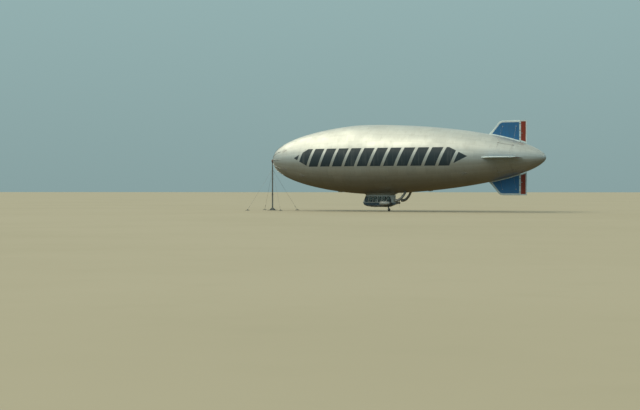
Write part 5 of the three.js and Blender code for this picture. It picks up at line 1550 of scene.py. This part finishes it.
def makeScoop(name, side):
    mouth, across, height, wide, wall = (scoop[key] for key in ("mouth", "side", "height", "radius", "wall"))
    spine = smoothLine([  # x, y, z, radius, lean
        (mouth, across, height, wide, 0), (mouth + 0.55, across, height, wide * 0.95, 0),
        (mouth + 1.15, 1.68, -7.98, 0.26, 0.6), (mouth + 1.75, 1.55, -7.3, 0.24, 0.95),
        (mouth + 2.2, 1.45, -6.5, 0.24, 1.05)], 6)

    def ring(spot, inset, wave=0.0):
        x, y, z, radius, lean = spot
        points = []
        for angle in around(36):
            size = radius - inset - wave * (0.5 + 0.5 * math.cos(6 * angle))
            out, up = math.cos(angle) * size, math.sin(angle) * size
            point = Vector((x - up * math.sin(lean), side * y + out, z + up * math.cos(lean)))
            reach = math.hypot(point.y, point.z)
            limit = hullRadius(point.x) - 0.012
            if reach < limit:
                point.yz = point.yz * (limit / reach)
            points.append(point)
        return points

    bm = bmesh.new()
    wave = [0.006 * abs(math.sin(i * math.pi / 3)) for i in range(len(spine))]
    hollow = [ring(spot, wall) for spot in spine[:17]]
    outside = [ring(spot, 0, dent) for spot, dent in zip(spine, wave)]
    bridged(bm, hollow[::-1] + outside)
    for index in scoop["hoops"]:  # sewn into the sleeve
        tube(bm, ring(spine[index], -0.006), 0.012, steps=8, index=1, closed=True)
    tube(bm, ring(spine[0], wall / 2), 0.03, index=1, closed=True)
    for out in map(radial, around(12)):
        bolts(bm, [Vector((mouth + 0.08, side * across, height)) + out * wide], 0.014, 0.012, axis=out,
              index=1)
    for dy in (-0.16, 0.16):  # guys that hold the mouth forward
        rod(bm, (mouth + 0.04, side * (across + dy), height + 0.24),
            (mouth + 0.1, side * (across - 0.35 + dy * 0.3), -6.62), 0.01, steps=6, index=1)
    shipPiece(bm, "airScoop_" + name, [scoopCloth, steel], ["air_scoop_" + name], "scoop_fabric", angle=50)


# Landing wheel
gear = {"x": 25.9, "trail": 0.14, "swivel": -9.81, "tyre": 0.28, "width": 0.22, "running": 0.016}
wheelGrey = coating("wheelGrey", (0.5, 0.51, 0.5), (0.14, 0.12, 0.1), 0.35, metallic=0.8, scale=14,
                    amount=0.4, worn=(0.6, 0.6, 0.59), wornRadius=0.002)
tyreRubber = coating("tyreRubber", (0.022, 0.022, 0.021), (0.11, 0.095, 0.075), 0.82, scale=9, amount=0.6,
                     grain=0.0008)


def makeGear():
    x, hub = gear["x"], ground + gear["tyre"]
    axle = x + gear["trail"]
    bm = bmesh.new()
    turned(bm, [(9.5, 0.054), (9.5, 0.17), (9.668, 0.17), (9.672, 0.2), (9.695, 0.2), (9.7, 0.15),
                (9.74, 0.125), (9.8, 0.11), (9.81, 0.1), (9.81, 0.054)], (x, 0, 0), (0, 0, -1), 40)
    bolts(bm, flange((x, 0, -9.7), 0.178, 8), 0.013, 0.014, axis=(0, 0, -1))
    shipPiece(bm, "swivelHousing", [steel], ["gear_strut"], "steel_tube", round=0.0015)

    bm = bmesh.new()
    top = gear["swivel"] - 0.001
    low = hub + gear["tyre"] + gear["running"]
    rod(bm, (x, 0, low), (x, 0, -9.67), 0.049, steps=24)
    reach = gear["width"] / 2 + gear["running"]
    crown = (axle - x + 0.15, 2 * reach + 0.09, top - low)
    block(bm, ((x - 0.09 + axle + 0.06) / 2, 0, (top + low) / 2), crown, round=0.012)
    blade = [(top - 0.004, x - 0.08, axle + 0.055), (hub + 0.2, x, axle + 0.065),
             (hub + 0.05, axle - 0.07, axle + 0.065), (hub - 0.03, axle - 0.06, axle + 0.06),
             (hub - 0.06, axle - 0.03, axle + 0.03)]
    for side in (-1, 1):
        y0, y1 = side * reach, side * (reach + 0.05)
        bridged(bm, [[(fore, y0, z), (aft, y0, z), (aft, y1, z), (fore, y1, z)] for z, fore, aft in blade])
        turned(bm, [(0, 0), (0, 0.05), (0.012, 0.05), (0.014, 0.034), (0.03, 0.034), (0.034, 0.02),
                    (0.034, 0)], (axle, y1, hub), (0, side, 0), 6 if side < 0 else 24)
        bolts(bm, [(x + 0.01 + 0.07 * i, y1, top - 0.04) for i in range(2)], 0.012, 0.012, axis=(0, side, 0))
    rod(bm, (axle, -reach - 0.05, hub), (axle, reach + 0.05, hub), 0.024, steps=20)
    dress(toObject(bm, "castorFork"), "fork", [steel], ["gear_fork"], "steel_tube", round=0.002)

    half, core = gear["width"] * 0.42, gear["tyre"] * 0.5
    bm = bmesh.new()
    profile = [(-half, 0.027), (-half * 1.1, 0.05), (-half * 1.08, core * 0.45), (-half * 0.55, core * 0.52),
               (-half * 0.45, core * 0.8), (-half * 0.62, core * 0.88), (-half * 0.9, core * 0.93),
               (-half * 0.96, core - 0.001)]
    line = profile + [(-along, radius) for along, radius in reversed(profile)]
    turned(bm, line, (axle, 0, hub), (0, 1, 0), 48)
    for side in (-1, 1):
        spots = [(axle + 0.046 * math.cos(a), side * half * 1.09, hub + 0.046 * math.sin(a))
                 for a in around(6)]
        bolts(bm, spots, 0.008, 0.01, axis=(0, side, 0))
        for angle in around(5, 0.5):
            spot = (axle + 0.095 * math.cos(angle), side * half * 0.5, hub + 0.095 * math.sin(angle))
            turned(bm, [(-0.01, 0), (-0.01, 0.02), (0.006, 0.02), (0.006, 0.013), (0, 0)], spot,
                   (0, side, 0), 12, 1)
    rod(bm, (axle + 0.1, half * 0.6, hub), (axle + 0.112, half * 1.02, hub), 0.006, steps=8, index=1)
    dress(toObject(bm, "wheelHub"), "wheel", [wheelGrey, darkPaint], ["wheel_rim"], "wheel_alloy", angle=30)

    bm = bmesh.new()
    size, wide = gear["tyre"], gear["width"] / 2
    flank = [(-wide * 0.7, size * 0.5), (-wide * 0.86, size * 0.56), (-wide * 0.98, size * 0.68),
             (-wide, size * 0.78), (-wide * 0.94, size * 0.88), (-wide * 0.8, size * 0.955)]
    tread = [(-wide * 0.66, size * 0.982)]
    for centre in (-0.4, 0.0, 0.4):  # grooves round the tread
        for dx, drop in ((-0.075, 0), (-0.055, 0.012), (0.055, 0.012), (0.075, 0)):
            along = (centre + dx) * wide
            tread.append((along, size * (1 - 0.03 * abs(centre + dx) ** 2) - drop))
    tread.append((wide * 0.66, size * 0.982))
    bead = size * 0.5 - 0.002
    line = flank + tread + [(-along, radius) for along, radius in reversed(flank)]
    line += [(wide * 0.63, bead), (-wide * 0.63, bead)]
    turned(bm, line, (axle, 0, hub), (0, 1, 0), 72)
    dress(toObject(bm, "tyreCover"), "wheel", [tyreRubber], ["tyre"], "tyre", angle=30)


# Mooring mast
mast = {"x": -0.5, "pole": 0.15, "top": 0.11, "joints": [3.3, 6.6], "guyHeight": 8.3, "reach": 5.5,
        "wire": 0.014, "headLow": -0.42, "plate": (1.6, 0.07), "shoe": (0.6, 0.1), "irons": (0.9, 0.32)}
mastGrey = coating("mastGrey", (0.3, 0.31, 0.29), (0.13, 0.1, 0.07), 0.5, metallic=0.5, scale=3.5,
                   amount=0.5, runs=0.4, worn=(0.45, 0.45, 0.43))
mastRed = coating("mastRed", (0.2, 0.055, 0.035), (0.1, 0.07, 0.05), 0.5, scale=5, amount=0.45,
                  worn=(0.35, 0.3, 0.27), wornRadius=0.003)
galvanised = coating("galvanised", (0.36, 0.37, 0.37), (0.17, 0.13, 0.09), 0.5, metallic=0.75, scale=9,
                     amount=0.5)


def makeMastBase():
    wide, thick = mast["plate"]
    x, top = mast["x"], ground + thick
    bm = bmesh.new()
    block(bm, (x, 0, ground + thick / 2), (wide, wide, thick), round=0.012)
    socket = [(0, 0.155), (0, 0.26), (0.03, 0.26), (0.035, 0.2), (0.45, 0.19), (0.455, 0.22), (0.5, 0.22),
              (0.5, 0.155)]
    turned(bm, socket, (x, 0, top), (0, 0, 1), 40)
    web = bmesh.new()
    prism(web, [(0.17, 0), (0.72, 0), (0.72, 0.04), (0.24, 0.44), (0.17, 0.44)], "y", -0.015, 0.015)
    place(bm, web, [Matrix.Translation((x, 0, top)) @ Matrix.Rotation(angle, 4, "Z")
                    for angle in around(4, 0.5)])
    for i, j in product((-1, 0, 1), repeat=2):
        if i or j:
            spot = (x + 0.68 * i, 0.68 * j, top + 0.01)
            stud = [(-0.01, 0), (-0.01, 0.06), (0.002, 0.06), (0.004, 0.02), (0.09, 0.02), (0.09, 0)]
            turned(bm, stud, spot, (0, 0, 1), 16, 1)
            bolts(bm, [(spot[0], spot[1], spot[2] + 0.022)], 0.036, 0.036, index=1)
    shipPiece(bm, "mastFoot", [mastGrey, galvanised], ["mast_base"], "mast_grey", round=0.002)


def makeMastPole():
    x, low, high, guys = mast["x"], ground + 0.071, mast["headLow"] - 0.001, ground + mast["guyHeight"]

    def poleRadius(z):
        return mast["pole"] + (mast["top"] - mast["pole"]) * (z - low) / (high - low)

    bm = bmesh.new()
    profile = [(low, 0)]
    joints = [ground + joint for joint in mast["joints"]]
    z = low
    for joint in joints:
        profile += [(z, poleRadius(z)), (joint - 0.06, poleRadius(joint)), (joint - 0.05, 0.2),
                    (joint - 0.003, 0.2), (joint - 0.003, 0.19), (joint + 0.003, 0.19),
                    (joint + 0.003, 0.2), (joint + 0.05, 0.2)]
        z = joint + 0.06
    profile += [(z, poleRadius(z)), (high, poleRadius(high)), (high, 0)]
    turned(bm, profile, (x, 0, 0), (0, 0, 1), 40)
    turned(bm, sleeve(guys + 0.062, guys + 0.12, 0.1, 0.17), (x, 0, 0), (0, 0, 1), 32)
    for joint, up in product(joints, (1, -1)):
        spots = flange((x, 0, joint + 0.058 * up), 0.172, 8, 0.5)
        bolts(bm, spots, 0.017, 0.022, axis=(0, 0, up), index=1)
    first, step = mast["irons"]
    # climbing irons, on each side in turn
    for i in range(int((high - 0.25 - ground - first) / step) + 1):
        z = ground + first + step * i
        if all(abs(z - joint) > 0.12 for joint in joints + [guys]):
            side = 1 if i % 2 else -1
            hook = [(-0.02, 0), (0.13, 0), (0.17, 0.03), (0.175, 0.07)]
            line = smoothLine([(x, side * (poleRadius(z) + out), z + up) for out, up in hook], 3)
            tube(bm, line, 0.012, steps=8, index=1)
    shipPiece(bm, "mastTube", [mastGrey, galvanised], ["mast_pole"], "mast_grey", angle=35)


def makeMastHead():
    x, low = mast["x"], mast["headLow"]
    tip = -0.052
    bm = bmesh.new()
    turned(bm, [(low, 0), (low, 0.19), (low + 0.03, 0.19), (low + 0.04, mast["top"] * 1.25),
                (0.12, mast["top"] * 1.08), (0.2, mast["top"]), (0.22, mast["top"] * 0.8), (0.22, 0)],
           (x, 0, 0), (0, 0, 1), 40)
    front = x - 0.16
    turned(bm, [(front, 0), (front, 0.12), (front + 0.02, 0.13), (x, 0.15), (tip - 0.24, 0.185),
                (tip - 0.2, 0.19), (tip - 0.2, 0.125), (tip - 0.26, 0.078), (tip - 0.3, 0.078)], (0, 0, 0),
           (1, 0, 0), 40)
    bolts(bm, flange((x, 0, low + 0.036), 0.165, 8, 0.5), 0.016, 0.02, index=1)
    for out in map(radial, around(8, 0.5)):
        bolts(bm, [Vector((tip - 0.225, 0, 0)) + out * 0.19], 0.012, 0.02, axis=out, index=1)
    lever = smoothLine([(x - 0.02, 0.1, 0.02), (x - 0.02, 0.24, 0.02), (x - 0.05, 0.3, -0.02),
                        (x - 0.07, 0.34, -0.2)], 4)
    tube(bm, lever, 0.016, index=1)
    turned(bm, [(0, 0), (0, 0.03), (0.03, 0.034), (0.06, 0.02), (0.06, 0)], lever[-1], (-0.1, 0.1, -1), 16)
    block(bm, (x - 0.03, -0.185, -0.14), (0.16, 0.17, 0.2), round=0.015)  # winch case, its drum and its crank
    drum = [(-0.04, 0), (-0.04, 0.07), (-0.03, 0.07), (-0.03, 0.05)]
    drum += [(-along, radius) for along, radius in reversed(drum)]
    turned(bm, drum, (x - 0.03, -0.31, -0.14), (0, 1, 0), 24, 1)
    rod(bm, (x - 0.03, -0.35, -0.14), (x - 0.03, -0.38, -0.14), 0.018, index=1)
    rod(bm, (x - 0.03, -0.37, -0.14), (x + 0.06, -0.37, -0.24), 0.012, steps=8, index=1)
    rod(bm, (x + 0.06, -0.37, -0.24), (x + 0.06, -0.46, -0.24), 0.016, steps=10)
    shipPiece(bm, "mastCup", [mastRed, galvanised], ["mast_head"], "mast_red", angle=35)


def makeGuys():
    x, ring = mast["x"], ground + mast["guyHeight"]
    bm = bmesh.new()
    collar = [(-0.04, 0.118), (-0.04, 0.19), (-0.03, 0.2), (0.05, 0.2), (0.06, 0.19), (0.06, 0.118)]
    turned(bm, collar, (x, 0, ring), (0, 0, 1), 40)
    for angle in around(4, 0.5):
        out = level(angle)
        eye = Vector((x, 0, ring)) + out * 0.2
        foot = Vector((x, 0, ground + 0.22)) + out * (mast["reach"] - 0.075)
        run = (foot - eye).normalized()
        side = out.cross(Vector((0, 0, 1)))
        block(bm, eye, (0.1, 0.03, 0.08), turn=Matrix.Rotation(angle, 4, "Z"), round=0.008)
        hold = eye + out * 0.02
        link = [hold + (run * 0.07 * math.cos(a) + side * 0.035 * math.sin(a)) + run * 0.05
                for a in around(14)]
        tube(bm, link, 0.01, steps=6, closed=True)
        start = hold + run * 0.11
        rod(bm, start, foot, mast["wire"], steps=8)
        for share in (0.1, 0.16, 0.22):
            spot = start + run * share * 2
            rod(bm, spot - run * 0.02, spot + run * 0.02, 0.026, steps=6)
        low = foot - run * 0.9
        rod(bm, low, low + run * 0.42, 0.034, steps=8)
        for k in (0, 1):
            rod(bm, low + run * (0.02 + 0.36 * k), low + run * (0.06 + 0.36 * k), 0.044, steps=6)
    shipPiece(bm, "guyWires", [galvanised], ["mast_guys"], "guy_wire", angle=40)

    for number, angle in enumerate(around(4, 0.5), start=1):
        out = level(angle)
        centre = Vector((x, 0, ground)) + out * mast["reach"]
        wide, thick = mast["shoe"]
        bm = bmesh.new()
        block(bm, centre + Vector((0, 0, thick / 2)), (wide, wide, thick), round=0.015)
        post = [(0.08, 0), (0.08, 0.1), (0.1, 0.1), (0.12, 0.06), (0.27, 0.06), (0.28, 0.075), (0.3, 0.075),
                (0.3, 0)]
        turned(bm, post, centre, (0, 0, 1), 24)
        stake = [(-0.01, 0), (-0.01, 0.05), (0.008, 0.05), (0.01, 0.025), (0.05, 0.025), (0.06, 0.035),
                 (0.075, 0.03), (0.08, 0)]
        for dx, dy in product((-0.22, 0.22), repeat=2):
            turned(bm, stake, centre + Vector((dx, dy, 0.1)), (0, 0, 1), 16, 1)
        eye = [centre - out * (0.09 + 0.03 * math.cos(a)) + Vector((0, 0, 0.22 + 0.03 * math.sin(a)))
               for a in around(12)]
        tube(bm, eye, 0.01, steps=6, index=1, closed=True)
        shipPiece(bm, "anchorShoe_%d" % number, [mastGrey, galvanised], ["mast_anchor_%d" % number],
                  "mast_grey", round=0.002)


# Small pieces on the hull
valve = {"stations": {"bow": 15.2, "stern": 35.0}, "bolts": 16, "bars": 4}


def makeValves():
    for name, x in valve["stations"].items():
        bm = bmesh.new()
        here = hullFace(x, math.pi)
        centre, up = here.translation, here.to_3x3() @ Vector((0, 0, 1))

        def onValve(angle, radius, lift):
            return here @ Vector((radius * math.cos(angle), radius * math.sin(angle), lift))

        rim = [(-0.03, 0.3), (-0.03, 0.46), (0.02, 0.46), (0.05, 0.42), (0.1, 0.4), (0.1, 0.36),
               (0.05, 0.34), (0.04, 0.3)]
        turned(bm, rim, centre, up, 48)
        turned(bm, [(0, 0), (0, 0.34), (0.03, 0.34), (0.05, 0.3), (0.075, 0.1), (0.08, 0)], centre, up, 40)
        spots = [onValve(angle, 0.38, 0.104) for angle in around(valve["bolts"])]
        bolts(bm, spots, 0.014, 0.016, axis=up, index=1)
        for angle in around(valve["bars"], 0.5):
            rod(bm, onValve(angle, 0.36, 0.09), onValve(angle, 0.01, 0.092), 0.014, steps=8, index=1)
        shipPiece(bm, "airValve_" + name, [carWhite, steel], ["air_valve_" + name], "valve_white", angle=35)


patches = {"places": {4.6: (62, -62, 118, -118), 9.0: (128, -128), 44.0: (125, -125)},  # degrees from the top
           "fingers": (-28, -14, 0, 14, 28), "start": 0.12, "length": 0.95, "half": 0.075, "lift": 0.012}


def makePatches():
    # cloth patches with finger ends and a ring, where handling lines are made fast
    bm = bmesh.new()
    lift, places = patches["lift"], patches["places"]
    for x, angle in [(x, math.radians(angle)) for x, angles in places.items() for angle in angles]:
        centre = hullFace(x, angle, 0.004)
        for lean in map(math.radians, patches["fingers"]):
            rings = []
            for share in (0.0, 0.35, 0.7, 0.93, 1.0):
                along = patches["start"] + share * patches["length"]
                half = patches["half"] * (1 - 0.2 * share) * (0.45 if share == 1 else 1)
                px, py = -math.cos(lean) * along, math.sin(lean) * along
                ax, ay = math.sin(lean) * half, math.cos(lean) * half
                corners = [(px + ax, py + ay, lift), (px + ax, py + ay, -lift), (px - ax, py - ay, -lift),
                           (px - ax, py - ay, lift)]
                rings.append([hullPoint(x + dx, angle + dy / hullRadius(x + dx), rise)
                              for dx, dy, rise in corners])
            bridged(bm, rings)
        up = centre.to_3x3() @ Vector((0, 0, 1))
        turned(bm, [(-0.01, 0), (-0.01, 0.16), (0.012, 0.15), (0.018, 0.05), (0.02, 0)], centre.translation,
               up, 24)
        loop = [centre @ Vector((0.05 * math.cos(a), 0, 0.05 + 0.045 * math.sin(a))) for a in around(14)]
        tube(bm, loop, 0.012, steps=6, index=1, closed=True)
    shipPiece(bm, "linePatches", [patchCloth, steel], slot="envelope", angle=40)


# Stage: a plain pale floor, a pale sky and soft light from high on the camera's side
stage = {"floor": 2000.0, "sunHeight": 46.5, "suns": [(-104.0, 0.96), (-38.0, 1.24)], "sunAngle": 38.0,
         "sunColor": (1.0, 0.885, 0.665)}
skyTones = [(0.0, (0.09, 0.069, 0.03)), (0.25, (0.12, 0.095, 0.041)), (0.45, (0.13, 0.117, 0.06)),
            (0.5, (0.15, 0.21, 0.2)), (0.55, (0.2, 0.32, 0.34)), (0.665, (0.34, 0.5, 0.53)),
            (0.8, (0.52, 0.63, 0.6)), (0.92, (0.56, 0.64, 0.58)), (1.0, (0.56, 0.63, 0.56))]


def makeStage():
    bm = bmesh.new()
    bmesh.ops.create_grid(bm, x_segments=8, y_segments=8, size=stage["floor"])
    floor = meshPiece(bm, "floor")
    pale = coating("floorPale", (0.41, 0.37, 0.27), (0.36, 0.33, 0.24), 0.9, scale=0.05, amount=0.4)
    floor.data.materials.append(pale)
    floor.visible_diffuse = floor.visible_glossy = False

    world = bpy.data.worlds.new("sky")
    bpy.context.scene.world = world
    world.use_nodes = True
    tree = world.node_tree
    background = tree.nodes["Background"]
    direction = addNode(tree, "SeparateXYZ", {"Vector": addNode(tree, "TexCoord").outputs["Generated"]})
    height = ramp(tree, direction.outputs[2], -1, 1)
    tones = addNode(tree, "ValToRGB", {"Fac": height})
    stops = tones.color_ramp.elements
    for index, (position, color) in enumerate(skyTones):
        stop = stops[index] if index < 2 else stops.new(position)
        stop.position, stop.color = position, (*color, 1)
    shown = addNode(tree, "ValToRGB", {"Fac": height})
    low, high = shown.color_ramp.elements
    low.position, low.color = 0.5, (0.25, 0.36, 0.36, 1)
    high.position, high.color = 0.58, (0.3, 0.44, 0.44, 1)
    isSeen = addNode(tree, "LightPath").outputs["Is Camera Ray"]
    feed(tree, background.inputs["Color"], mixColor(tree, isSeen, tones.outputs[0], shown.outputs[0]))

    for index, (turn, power) in enumerate(stage["suns"]):  # two soft suns side by side, as light through haze
        light = bpy.data.lights.new("sun" + str(index), "SUN")
        light.energy, light.angle, light.color = power, math.radians(stage["sunAngle"]), stage["sunColor"]
        sun = addPiece("sun" + str(index), light)
        sun.rotation_euler = (math.radians(90 - stage["sunHeight"]), 0, math.radians(turn))
    bpy.context.scene.view_settings.view_transform = "Standard"


camera = {"place": (49.59, -121.71, 2.03), "heading": (-0.4287, 0.9034), "dip": 0.613, "lens": 73.1,
          "sensor": 36.0}


def makeCamera():
    data = bpy.data.cameras.new("camera")
    data.lens, data.sensor_width, data.clip_end = camera["lens"], camera["sensor"], 5000
    eye = addPiece("camera", data)
    eye.location = camera["place"]
    look = Vector((*camera["heading"], -math.tan(math.radians(camera["dip"]))))
    eye.rotation_euler = look.to_track_quat("-Z", "Y").to_euler()
    bpy.context.scene.camera = eye


makeStage()
makeCamera()
print("stage and camera made")
makeEnvelope()
makeSternCap()
makeNose()
makeBattens()
print("envelope and nose made")
for name, (turn, surface) in tailPlaces.items():
    makeFin(name, turn)
    makeRudder(name, surface, turn)
    makeStays(name, turn)
print("tail made")
makeCarBody()
makeCarRoof()
makeDoorFittings()
for name, side in sides.items():
    makeHandrail(name, side)
makeLandingLamps()
makeCarFittings()
makePanel()
makeTrimWheel()
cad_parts["car_floor"].data.materials.clear()
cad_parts["car_floor"].data.materials.append(floorMat)
makeSeats()
print("car made")
for name, side in sides.items():
    makeNacelle(name, side)
    makeEngineBlock(name, side)
    makePropeller(name, side)
    makeOutrigger(name, side)
    makeScoop(name, side)
print("engines made")
makeGear()
makeMastBase()
makeMastPole()
makeMastHead()
makeGuys()
print("wheel and mast made")
makeValves()
makePatches()
print("hull fittings made")
